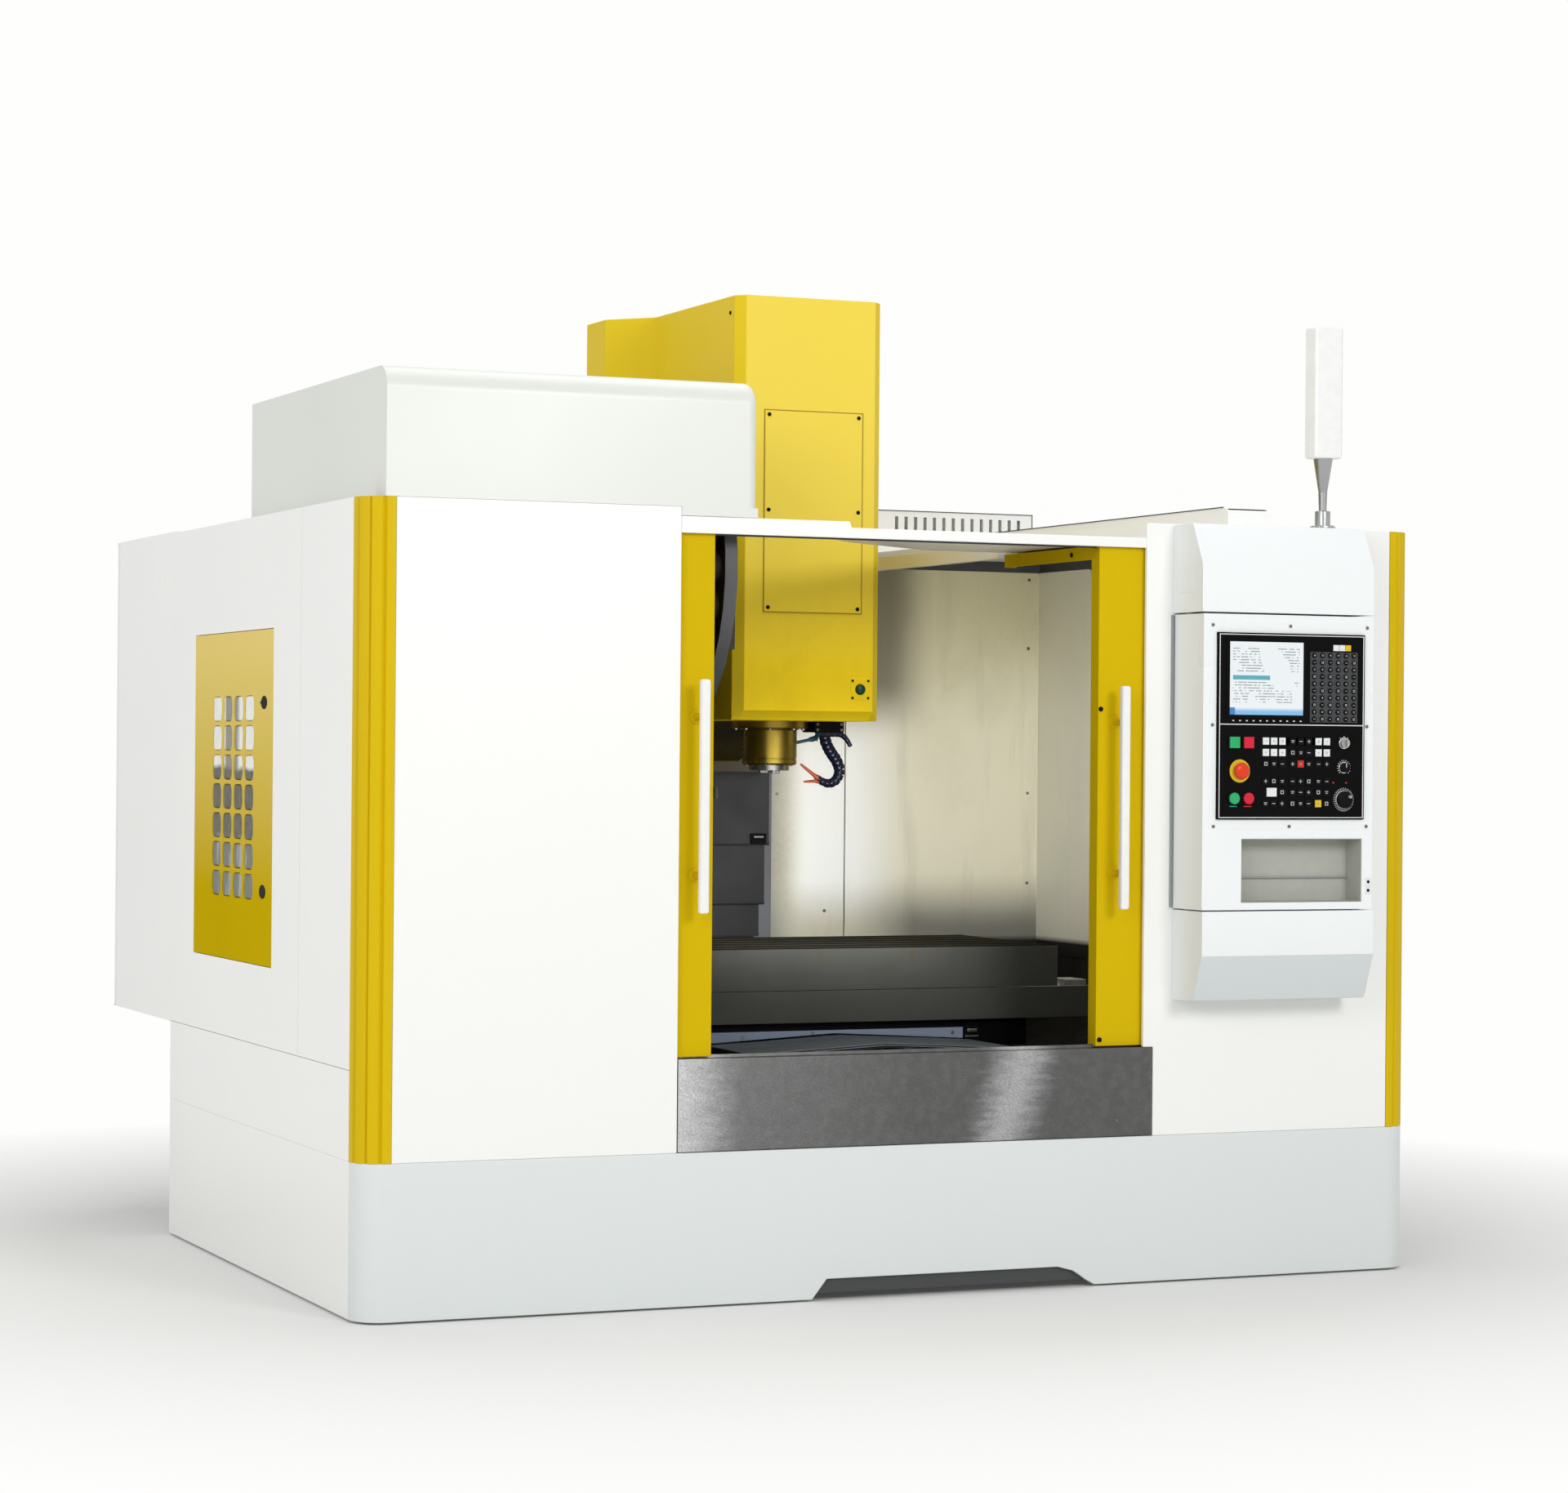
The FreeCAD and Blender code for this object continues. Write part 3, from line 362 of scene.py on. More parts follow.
def block(low, high, material, ease=0.0015, segments=2):
    """Rectangular piece between two corners with rounded edges."""
    thinnest = min(Vector(high) - Vector(low))
    return coat(ease_edges(cuboid(low, high), min(ease, 0.45 * thinnest), segments), material)


TURN_TO = {"Z": (0.0, 0.0, 0.0), "-Y": (math.pi / 2, 0.0, 0.0), "-X": (0.0, -math.pi / 2, 0.0),
           "-Z": (math.pi, 0.0, 0.0)}


def turned(profile, foot, axis, material, sides=32, smooth=38.0):
    """Lathe piece: a disc grown along its axis through (radius, height) pairs, from its foot."""
    radius, height = profile[0]
    piece = fresh(bpy.ops.mesh.primitive_circle_add, vertices=sides, radius=radius,
                  fill_type="NGON", location=ORIGIN)
    in_edit_mode()
    bpy.ops.transform.translate(value=(0.0, 0.0, height))
    for wider, higher in profile[1:]:
        extrude(0.0, 0.0, higher - height)
        share = wider / radius
        bpy.ops.transform.resize(value=(share, share, 1.0), center_override=(0.0, 0.0, higher))
        radius, height = wider, higher
    face_outwards()
    in_object_mode()
    piece.rotation_euler = TURN_TO[axis]
    piece.location = foot
    alone(piece)
    settle()
    bpy.ops.object.shade_smooth_by_angle(angle=math.radians(smooth))
    return coat(piece, material)


def copied(piece, shift, turn=None):
    """Copy of a piece with its own mesh, turned about its origin if asked and moved."""
    twin = piece.copy()
    twin.data = piece.data.copy()
    bpy.context.scene.collection.objects.link(twin)
    place = Matrix.Translation(shift)
    twin.data.transform(place if turn is None else place @ turn)
    return twin


def scatter(master, places):
    """One copy of the master at each place; the master itself is removed."""
    twins = [copied(master, place) for place in places]
    bpy.data.objects.remove(master)
    return twins


def round_places(count, radius, start=0.0):
    """(cosine, sine) of even places on a circle, times its radius; start is in steps."""
    turns = [2 * math.pi * (k + start) / count for k in range(count)]
    return [(radius * math.cos(turn), radius * math.sin(turn)) for turn in turns]


def joined(parts):
    """Join parts into the first of them."""
    bpy.ops.object.select_all(action="DESELECT")
    for part in parts:
        part.select_set(True)
    bpy.context.view_layer.objects.active = parts[0]
    if len(parts) > 1:
        bpy.ops.object.join()
    return bpy.context.object


def body_of(node):
    bodies = frame["record"]["behaviour"]["bodies"]
    return next(body for body, nodes in bodies.items() if node in nodes)


def slot_of(node):
    return next(part["material_slot"] for part in frame["record"]["subparts"] if part["node"] == node)


def paint_of(node):
    return frame["nodes"][node].data.materials[0]


def add_on(name, node, parts):
    """Join parts into one named piece that rides with a node."""
    piece = joined(parts)
    piece.name = piece.data.name = name
    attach(piece, body_of(node))
    slot_of(node)
    return piece


def stand_in(node, parts):
    """Join parts into the finished form of a node, in the node's place."""
    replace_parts(add_on(node + "_finished", node, parts), node)


def merged(node):
    """Copy of a node's mesh with its corners welded and its flat faces made whole."""
    piece = bpy.data.objects.new(node + "_shape", frame["nodes"][node].data.copy())
    bpy.context.scene.collection.objects.link(piece)
    alone(piece)
    in_edit_mode()
    bpy.ops.mesh.remove_doubles(threshold=0.00002)
    bpy.ops.mesh.dissolve_limited(angle_limit=FLAT)
    in_object_mode()
    return piece


def painted(node):
    """Welded copy of a node in the node's own finish."""
    return coat(merged(node), paint_of(node))


def finished(node, width, piece=None):
    """Stand-in for a node: its own or the given shape with eased edges."""
    stand_in(node, [ease_edges(piece or painted(node), width)])


def without(piece, unwanted):
    """Remove the faces that pass the test and close the holes that they leave."""
    alone(piece)
    in_edit_mode()
    if pick_faces(piece, unwanted):
        bpy.ops.mesh.delete(type="FACE")
        bpy.ops.mesh.select_all(action="SELECT")
        bpy.ops.mesh.fill_holes(sides=24)
        bpy.ops.mesh.select_all(action="SELECT")
        bpy.ops.mesh.dissolve_limited(angle_limit=FLAT)
    in_object_mode()
    return piece


def rounded_cutter(low, high, rounding):
    """Box with its four edges along X rounded, for cutting holes."""
    piece = cuboid(low, high)
    in_edit_mode()

    def runs_along_x(edge):
        run = edge.verts[1].co - edge.verts[0].co
        return abs(run.x) > 0.99 * run.length

    pick(piece, "EDGE", runs_along_x)
    bpy.ops.mesh.bevel(offset=rounding, segments=5)
    in_object_mode()
    return piece


def cut(piece, tools):
    """Cut the tools' shapes out of a piece; the tools are removed."""
    tool = joined(tools)
    modify(piece, "BOOLEAN", operation="DIFFERENCE", object=tool)
    bpy.data.objects.remove(tool)
    return piece


def screw_head(radius, height, material, axis="-Y"):
    """Socket head screw standing on the origin: chamfered disc with a sunk socket."""
    profile = [(radius, 0.0), (radius, 0.75 * height), (0.86 * radius, height),
               (0.48 * radius, height), (0.44 * radius, 0.35 * height)]
    return turned(profile, ORIGIN, axis, material, 16)


def border(outer, inner, back, front, material, ease=0.0008):
    """Rectangular frame facing the front; outer and inner are (x0, x1, z0, z1) in metres."""
    left, right, low, high = outer
    wide, tall = right - left, high - low
    centre = Vector(((left + right) / 2, back, (low + high) / 2))
    piece = fresh(bpy.ops.mesh.primitive_plane_add, size=1.0, location=centre,
                  rotation=(math.pi / 2, 0.0, 0.0))
    piece.scale = (wide, tall, 1.0)
    settle()
    in_edit_mode()
    rim = 0.1 * min(wide, tall)
    bpy.ops.mesh.inset(thickness=rim)
    left, right, low, high = inner
    middle = Vector(((left + right) / 2, back, (low + high) / 2))
    bpy.ops.transform.translate(value=middle - centre)
    share = ((right - left) / (wide - 2 * rim), 1.0, (high - low) / (tall - 2 * rim))
    bpy.ops.transform.resize(value=share, center_override=middle)
    bpy.ops.mesh.delete(type="FACE")
    bpy.ops.mesh.select_all(action="SELECT")
    extrude(0.0, front - back, 0.0)
    face_outwards()
    in_object_mode()
    return coat(ease_edges(piece, ease), material)


def key_cap(width, tall, depth, material):
    """Square key standing on the origin and facing the front, with a shallow dish."""
    piece = cuboid((-width / 2, -depth, -tall / 2), (width / 2, 0.0, tall / 2))
    in_edit_mode()
    pick_faces(piece, lambda spot, normal: normal.y < -0.9)
    bpy.ops.mesh.inset(thickness=0.12 * min(width, tall))
    bpy.ops.transform.translate(value=(0.0, 0.2 * depth, 0.0))
    in_object_mode()
    return coat(ease_edges(piece, 0.0006, 2, 25.0), material)


def ring_of(master, centre, count, start=0.0, sweep=360.0):
    """Copies of a piece that stands above the origin, turned about the Y axis and moved to centre."""
    step = sweep / (count if sweep == 360.0 else count - 1)
    turns = [Matrix.Rotation(math.radians(start + step * k), 4, "Y") for k in range(count)]
    twins = [copied(master, centre, turn) for turn in turns]
    bpy.data.objects.remove(master)
    return twins


def smooth_route(points):
    """Points read from the smooth line that a list of control points draws."""
    line = bpy.data.curves.new("route", "CURVE")
    line.dimensions = "3D"
    line.resolution_u = 24
    spline = line.splines.new("NURBS")
    spline.points.add(len(points) - 1)
    for knot, point in zip(spline.points, points):
        knot.co = (*point, 1.0)
    spline.order_u = 3
    spline.use_endpoint_u = True
    holder = bpy.data.objects.new("route", line)
    path = [corner.co.copy() for corner in bpy.data.meshes.new_from_object(holder).vertices]
    bpy.data.objects.remove(holder)
    return path


def even_steps(path, step):
    """(share of the way, place, direction) at even distances along a path."""
    lengths = [(b - a).length for a, b in zip(path, path[1:])]
    total = sum(lengths)
    count = max(2, round(total / step))
    stops = []
    walked, k = 0.0, 0
    for n in range(count):
        target = total * (n + 0.5) / count
        while walked + lengths[k] < target:
            walked += lengths[k]
            k += 1
        run = path[k + 1] - path[k]
        stops.append((target / total, path[k] + run * ((target - walked) / lengths[k]), run.normalized()))
    return stops, total / count


# ---------------------------------------------------------------- finishes

RIGHT_WALL = 1.4335


def powder_coat(name, tint, gloss=0.32, soil=0.06, grain=0.12):
    """Sprayed powder coat: fine orange peel, slow tone changes and a little dust low down."""
    coat = Finish(name, Roughness=gloss, IOR=1.5)
    patches = coat.noise(0.9, 3.0)
    dust = coat.ramp(coat.axis("Z"), 0.5, 0.0, 0.0, soil)
    tone = coat.ramp(patches, 0.25, 0.8, 0.0, soil)
    tinted = coat.mix(tone, tint, darker(tint, 0.82))
    coat.set(Base_Color=coat.mix(dust, tinted, darker(tint, 0.6)))
    coat.set(Roughness=coat.ramp(patches, 0.3, 0.7, gloss - 0.05, gloss + 0.07))
    coat.set(Normal=coat.bump(coat.noise(420.0, 2.0), grain, 0.0004))
    return coat.material


def yellow_coat(name, tint, wear=0.25, pale=None, shine=0.06, painted_shade_flanks=None):
    """Yellow coat gone brown in smears.

    pale (low, high, colour) fades it upwards between two heights, a painted lighter top; flanks (half,
    colour) gives the faces more than half away from the middle a darker colour of their own, painted shade.
    """
    coat = Finish(name, IOR=1.5, Specular_IOR_Level=shine)
    smears = coat.noise(2.4, 6.0, (1.0, 1.0, 0.45), 0.62)
    spots = coat.noise(22.0, 3.0)
    amount = coat.ramp(smears, 0.46, 0.72, 0.0, wear) * coat.ramp(spots, 0.25, 0.7, 0.4, 1.0)
    wear_and_painted_light = coat.mix(amount, tint, darker(tint, 0.55))
    # painted light: the coat paler towards the top
    if pale:
        low, high, painted_top_colour = pale
        wear_and_painted_light = coat.mix(coat.ramp(coat.axis("Z"), low, high), wear_and_painted_light, painted_top_colour)
    # painted shade: the side faces darker
    if painted_shade_flanks:
        half, side = painted_shade_flanks
        across = coat.axis("X")
        away = coat.ramp(across, half, half + 0.002) + coat.ramp(across, -half, -half - 0.002)
        wear_and_painted_light = coat.mix(away * coat.ramp(coat.axis("Z"), 3.011, 3.009), wear_and_painted_light, side)
    coat.set(Base_Color=wear_and_painted_light)
    coat.set(Roughness=coat.ramp(smears, 0.3, 0.75, 0.34, 0.50))
    coat.set(Normal=coat.bump(coat.noise(380.0, 2.0), 0.12, 0.0004))
    return coat.material


def enamel_stains_and_painted_light(name, tint):
    """Cream enamel of the chamber: brown runs, oil mist above with a painted yellow reflection in it, and
    painted shade at its foot.

    The chamber's own light is painted in: shade behind the head and the column cover, a bright
    patch beside it, a paler right wall and a dark line along the pans.
    """
    coat = Finish(name, IOR=1.5, Specular_IOR_Level=0.3)
    cloud = coat.noise(1.6, 5.0, (1.0, 1.0, 0.7), 0.6)
    runs = coat.noise(9.0, 4.0, (1.0, 1.0, 0.12), 0.6)
    specks = coat.noise(60.0, 3.0)
    across, height = coat.axis("X"), coat.axis("Z")
    wander = (cloud - 0.5) * 0.5
    brown = coat.ramp(cloud, 0.45, 0.72, 0.0, 0.5) * coat.ramp(specks, 0.3, 0.65, 0.5, 1.0)
    streak = coat.ramp(runs, 0.55, 0.72, 0.0, 0.30)
    stains_and_painted_light = coat.mix(streak, coat.mix(brown, tint, (0.42, 0.37, 0.22)), (0.40, 0.38, 0.29))
    # oil mist above; its yellow tint is a painted reflection of the head and the roof
    mist = coat.ramp(height + wander, 1.60, 2.15).soft() * 0.45
    stains_and_painted_light = coat.mix(mist, stains_and_painted_light, (0.46, 0.41, 0.17))
    # painted shadow of the head on the upper back wall
    shade = coat.ramp(across + wander * 0.3, 1.04, 0.82).soft() * coat.ramp(height, 1.62, 1.85).soft()
    # painted shade beside the column cover
    post = coat.ramp(across, 0.52, 0.38).soft() * coat.ramp(height, 1.75, 1.50)
    # painted light: the right wall paler than the back wall
    right = coat.ramp(across, RIGHT_WALL - 0.0015, RIGHT_WALL)
    back = coat.ramp(across, RIGHT_WALL, RIGHT_WALL - 0.0015) * 0.85
    # painted shade along the foot of the back wall
    foot = coat.ramp(height + wander * 0.3, 1.18, 0.96).soft() * back
    # a painted bright patch of light beside the column cover
    painted_gleam = coat.ramp(across, 0.42, 0.55).soft() * coat.ramp(across, 0.95, 0.68).soft()
    foot = foot * coat.ramp(across, 0.70, 0.95, 0.35, 1.0)
    painted_gleam = painted_gleam * coat.ramp(height, 0.95, 1.15).soft() * coat.ramp(height, 1.85, 1.55).soft()
    # painted light and shade over the stains: bright patch, paler right wall, shadow of the head, shade by
    # the column cover and at the foot, near black below the wall
    for amount, seen in (
            (painted_gleam * 0.95, (0.92, 0.93, 0.91)), (right * 0.6, (0.88, 0.89, 0.82)),
            (shade * 0.8, (0.09, 0.08, 0.055)), (post * 0.65, (0.15, 0.155, 0.16)),
            (foot, (0.10, 0.10, 0.095)), (coat.ramp(height, 0.945, 0.925), (0.012, 0.011, 0.010))):
        stains_and_painted_light = coat.mix(amount, stains_and_painted_light, seen)
    coat.set(Base_Color=stains_and_painted_light)
    coat.set(Roughness=coat.ramp(cloud, 0.3, 0.7, 0.28, 0.46))
    coat.set(Normal=coat.bump(coat.noise(14.0, 4.0), 0.25, 0.002))
    return coat.material


def apron_steel(name):
    """Finely brushed stainless apron with two soft slanting painted highlights across its grain and a
    painted sheen towards its left end.
    """
    steel = Finish(name, Metallic=0.85)
    lines = steel.noise(520.0, 3.0, (0.30, 1.0, 1.0), 0.7)
    strokes = steel.noise(60.0, 3.0, (0.22, 1.0, 1.0), 0.6)
    across = steel.axis("X") + (strokes - 0.5) * 0.10
    slanted = across - steel.axis("Z") * 0.30 + 0.171
    # painted highlights: a band at the left end and a slanting band
    first = steel.ramp(across, -0.54, -0.79).soft()
    second = steel.ramp(slanted, 0.17, 0.31).soft() * steel.ramp(slanted, 0.45, 0.31).soft()
    film = steel.ramp(steel.noise(40.0, 3.0), 0.4, 0.7, 0.0, 0.05)
    # painted sheen growing towards the left, with random smudges of oil film
    painted_sheen_and_film = steel.ramp(steel.axis("X"), 0.0, -0.7, 0.0, 0.16) + film
    painted_gleam = (first * 0.85 + second * 0.6 + painted_sheen_and_film).clamp()
    tint = steel.mix(painted_gleam, (0.105, 0.105, 0.104), (0.66, 0.665, 0.67))
    steel.set(Base_Color=steel.mix(steel.ramp(lines, 0.38, 0.62, 0.0, 0.5), tint, (0.07, 0.07, 0.07)))
    steel.set(Roughness=steel.ramp(lines, 0.3, 0.7, 0.36, 0.48))
    steel.set(Normal=steel.bump(lines, 0.12, 0.0003))
    return steel.material


def cast_paint(name, tint, oil=0.35, shine=0.3):
    """Filled and painted casting: pitted skin, darker oily patches."""
    coat = Finish(name, IOR=1.5, Specular_IOR_Level=shine)
    patches = coat.noise(3.0, 6.0, roughness=0.62)
    coat.set(Base_Color=coat.mix(coat.ramp(patches, 0.42, 0.7, 0.0, oil), tint, darker(tint, 0.35)))
    coat.set(Roughness=coat.ramp(patches, 0.3, 0.7, 0.55, 0.34))
    coat.set(Normal=coat.bump(coat.noise(150.0, 5.0), 0.35, 0.0008))
    return coat.material


def ground_iron(name, tint):
    """Painted and oiled table iron, with rust-brown drips along its upper edge."""
    iron = Finish(name, IOR=1.5, Specular_IOR_Level=0.10)
    stain = iron.noise(5.0, 6.0, roughness=0.65)
    drips = iron.ramp(iron.noise(26.0, 4.0, (1.0, 1.0, 0.3)), 0.58, 0.68, 0.0, 0.6)
    edge = iron.ramp(iron.axis("Z"), 0.92, 0.955)
    first = iron.mix(iron.ramp(stain, 0.4, 0.7, 0.0, 0.25), tint, darker(tint, 0.7))
    iron.set(Base_Color=iron.mix(drips * edge, first, (0.075, 0.050, 0.022)))
    iron.set(Roughness=iron.ramp(stain, 0.3, 0.7, 0.52, 0.72))
    iron.set(Normal=iron.bump(iron.noise(180.0, 3.0, (0.02, 1.0, 1.0), 0.7), 0.10, 0.0003))
    return iron.material


def oiled_steel(name, tint, gloss=0.30, metal=0.9, shine=0.5, lip=None):
    """Ground or turned steel under a film of oil; below the height lip it is a black wiper."""
    steel = Finish(name, Metallic=metal, Specular_IOR_Level=shine)
    film = steel.noise(7.0, 5.0)
    oiled = steel.mix(steel.ramp(film, 0.4, 0.7, 0.0, 0.5), tint, darker(tint, 0.55))
    if lip:
        wiper = steel.ramp(steel.axis("Z"), lip + 0.001, lip - 0.001)
        oiled = steel.mix(wiper, oiled, (0.003, 0.003, 0.003))
    steel.set(Base_Color=oiled)
    steel.set(Roughness=steel.ramp(film, 0.3, 0.7, gloss, gloss + 0.16))
    steel.set(Normal=steel.bump(steel.noise(240.0, 2.0, (1.0, 1.0, 0.15)), 0.08, 0.0003))
    return steel.material


def moulded(name, tint, gloss=0.38, grain=0.15, shine=0.25):
    """Moulded plastic with a fine spark-eroded grain."""
    body = Finish(name, IOR=1.46, Specular_IOR_Level=shine)
    cloud = body.noise(30.0, 2.0)
    body.set(Base_Color=body.mix(body.ramp(cloud, 0.35, 0.7, 0.0, 0.15), tint, darker(tint, 0.7)))
    body.set(Roughness=body.ramp(cloud, 0.3, 0.7, gloss - 0.04, gloss + 0.05))
    body.set(Normal=body.bump(body.noise(900.0, 2.0), grain, 0.0002))
    return body.material


def safety_glass(name):
    """Clear laminated pane with a faint grey-green body and a film of mist."""
    pane = Finish(name, Base_Color=(0.86, 0.92, 0.9, 1.0), IOR=1.5, Transmission_Weight=1.0)
    mist = pane.noise(6.0, 5.0)
    pane.set(Roughness=pane.ramp(mist, 0.45, 0.75, 0.02, 0.14))
    return pane.material


def finish_table():
    """Material of each construction node; a key may name several nodes."""
    tints = paints()
    black = moulded("black_plastic", (0.006, 0.006, 0.006), 0.42, 0.15, 0.02)
    # painted light and shade on the head's coat: paler towards its top, darker on its side faces
    fade = (1.85, 2.3, (0.90, 0.69, 0.085))
    painted_shade_flanks = (0.220, (0.78, 0.565, 0.020))
    sheet = darker(tints.cover, 0.75)
    return {
        "left_front_panel right_front_panel left_side_panels rear_side_panels roof_panels header_beam "
        "electrical_cabinet cabinet_door": powder_coat("white_coat", tints.white),
        "base_skirt": powder_coat("base_coat", tints.base, 0.36, 0.10),
        "left_roof_cover": powder_coat("roof_cover_coat", tints.roof),
        "enclosure_frame": powder_coat("frame_paint", (0.045, 0.048, 0.05), 0.5, 0.2),
        "control_housings control_box": powder_coat("station_coat", tints.station, 0.30, 0.012),
        "coolant_tank": powder_coat("tank_paint", (0.20, 0.22, 0.23), 0.4, 0.2),
        "left_door right_door": yellow_coat("yellow_coat", tints.yellow, 0.16, None, 0.02),
        "corner_posts": yellow_coat("pillar_yellow", darker(tints.yellow, 1.05), 0.05, None, 0.08),
        # painted light: the side door paler towards its top
        "side_door": yellow_coat(
            "side_door_yellow", darker(tints.yellow, 0.92), 0.16, (1.15, 1.9, (0.84, 0.66, 0.21)), 0.0),
        "head_cover": yellow_coat("head_yellow", tints.head, 0.30, fade, 0.06, painted_shade_flanks),
        "steel_apron": apron_steel("apron_steel"),
        "inner_walls": enamel_stains_and_painted_light("chamber_enamel", tints.cream),
        "bed_casting": cast_paint("painted_casting", darker(tints.iron, 0.20), 0.35, 0.1),
        "saddle": cast_paint("saddle_plates", (0.235, 0.285, 0.37), 0.2),
        # mid grey: painted shade between the column cover and the wall
        "column_casting": cast_paint("column_grey_painted_shade", (0.13, 0.135, 0.145), 0.3, 0.1),
        # yellow darkened to near black: painted shade on the head casting behind its cover
        "head_casting": cast_paint("head_casting_painted_shade", darker(tints.yellow, 0.05)),
        "changer_housing": cast_paint("changer_paint", (0.022, 0.018, 0.014)),
        "changer_arm": cast_paint("arm_paint", (0.03, 0.028, 0.025)),
        "table": ground_iron("table_iron", tints.table),
        "levelling_feet axis_drives x_axis_drive changer_shaft key_switch":
            oiled_steel("ground_steel", (0.42, 0.42, 0.41)),
        # near black: painted shade of the deep chip tray
        "chip_tray": oiled_steel("tray_steel_painted_shade", (0.010, 0.0095, 0.009), 0.55, 0.05, 0.03),
        # steel tinted gold: a painted reflection of the yellow doors
        "spindle_housing": oiled_steel("nose_steel", (0.26, 0.185, 0.028), 0.22, 0.95),
        "spindle": oiled_steel("spindle_steel", (0.20, 0.19, 0.18), 0.22),
        "signal_pole": oiled_steel("pole_chrome", (0.40, 0.41, 0.41), 0.10, 1.0),
        "magazine_disc": oiled_steel("magazine_paint", (0.036, 0.030, 0.020), 0.45, 0.1, 0.05),
        "y_cover_saddle y_cover_middle": oiled_steel("gable_sheet", (0.15, 0.17, 0.19), 0.35, 0.5),
        "fixed_way_covers z_cover_lower": oiled_steel("cover_sheet", sheet, 0.40, 0.35, 0.3),
        "z_cover_head": oiled_steel("cover_sheet_head", sheet, 0.40, 0.35, 0.3, 1.278),
        "z_cover_middle": oiled_steel("cover_sheet_middle", sheet, 0.40, 0.35, 0.3, 1.076),
        "left_window right_window": safety_glass("door_glass"),
        "upper_latch lower_latch screen_unit operator_panel override_knob mode_dial": black,
        "coolant_hoses": moulded("hose_plastic", (0.006, 0.008, 0.020), 0.16, 0.03),
        "signal_lamp": moulded("lamp_opal", (0.90, 0.91, 0.89), 0.22, 0.0),
        "release_button": moulded("green_cap", (0.008, 0.06, 0.035), 0.2),
        "emergency_stop": moulded("stop_red", (0.74, 0.050, 0.012), 0.2, 0.0),
        "power_on_button start_button": moulded("cap_green", (0.025, 0.42, 0.14), 0.22, 0.0),
        "power_off_button hold_button": moulded("cap_red", (0.66, 0.015, 0.045), 0.22, 0.0),
    }


def coat_node(node, material):
    mesh = frame["nodes"][node].data
    if not mesh.materials:
        mesh.materials.append(material)
    for index in range(len(mesh.materials)):
        mesh.materials[index] = material


class MACHINE_OT_finishes(bpy.types.Operator):
    """Give every construction node its own finish"""
    bl_idname = "machine.finishes"
    bl_label = "Finishes"

    def execute(self, context):
        for nodes, material in finish_table().items():
            for node in nodes.split():
                coat_node(node, material)
        return {"FINISHED"}


# ---------------------------------------------------------------- construction with eased edges

EASED = {
    # the width's name in MachineSizes, and the nodes that get it
    "sheet": "left_side_panels roof_panels steel_apron enclosure_frame inner_walls chip_tray "
             "electrical_cabinet coolant_tank control_box head_cover power_on_button power_off_button "
             "start_button hold_button",
    "fold": "left_front_panel right_front_panel rear_side_panels left_roof_cover cabinet_door changer_arm",
    "flute": "corner_posts",
    "casting": "bed_casting column_casting head_casting changer_housing",
    "machined": "x_axis_drive axis_drives levelling_feet changer_shaft spindle upper_latch lower_latch",
    "cover": "fixed_way_covers y_cover_saddle y_cover_middle z_cover_head z_cover_middle "
             "z_cover_lower signal_pole key_switch",
    "lamp": "signal_lamp",
}


class MACHINE_OT_construction(bpy.types.Operator):
    """Panels, castings, covers and machined parts with rounded edges"""
    bl_idname = "machine.construction"
    bl_label = "Construction with eased edges"

    def execute(self, context):
        for width, nodes in EASED.items():
            for node in nodes.split():
                finished(node, getattr(sizes(), width))
        white, dark = paint_of("left_side_panels"), paint_of("enclosure_frame")
        skirt = repaint(painted("base_skirt"), white,
                        lambda spot, normal: abs(normal.x) > 0.999 and abs(spot.x) > 1.6)
        finished("base_skirt", sizes().fold, skirt)
        oily = cast_paint("table_top", (0.024, 0.021, 0.014), 0.5, 0.0)
        top = repaint(painted("table"), oily, lambda spot, normal: normal.z > 0.9)
        finished("table", sizes().table, top)
        beam = repaint(painted("header_beam"), dark,
                       lambda spot, _: -1.3205 < spot.y < -1.3095 and spot.z < 2.2305)
        finished("header_beam", sizes().sheet, beam)
        # painted shade: the downward slopes of the lower housing in a greyer white
        shaded = powder_coat("station_painted_shade", (0.62, 0.67, 0.67), 0.4, 0.02)
        housing = repaint(painted("control_housings"), shaded,
                          lambda spot, normal: spot.z < 1.0 and normal.z < -0.2)
        finished("control_housings", sizes().fold, housing)
        self.roof_gap_painted_shade(dark)
        return {"FINISHED"}

    def roof_gap_painted_shade(self, dark):
        """Dark lines along the louvred strip and the raised duct cover: painted shade of the gaps at their
        edges.
        """
        add_on("roof_gap_painted_shade", "roof_panels", [
            block(mm(380, 698.5, 2443.5), mm(1415, 700.5, 2447), dark, 0.0005),
            block(mm(1411.5, 698.5, 2290), mm(1415, 700.5, 2443.5), dark, 0.0005),
            block(mm(1030.5, -1325, 2346.5), mm(1032.5, 700, 2350), dark, 0.0005)])


# ---------------------------------------------------------------- doors and their handles

GRIP_BOTTOM, GRIP_TOP, GRIP_FRONT, GRIP_BACK = 1.129, 1.797, -1.418, -1.394
GRIP_POSTS = (1.236, 1.690)
DOOR_FACE = -1.338
HANDLES = {"left": -0.700, "right": 0.655}


def pull_bar(x, enamel, post_paint):
    """Flat pull bar with rounded edges on two turned posts."""
    half = 0.0145
    bar = block((x - half, GRIP_FRONT, GRIP_BOTTOM), (x + half, GRIP_BACK, GRIP_TOP), enamel, 0.0075, 4)
    reach = DOOR_FACE - GRIP_BACK
    profile = [(0.020, 0.0), (0.020, 0.004), (0.011, 0.006), (0.010, reach - 0.004), (0.012, reach)]
    posts = [turned(profile, (x, DOOR_FACE, z), "-Y", post_paint, 24) for z in GRIP_POSTS]
    return [bar] + posts


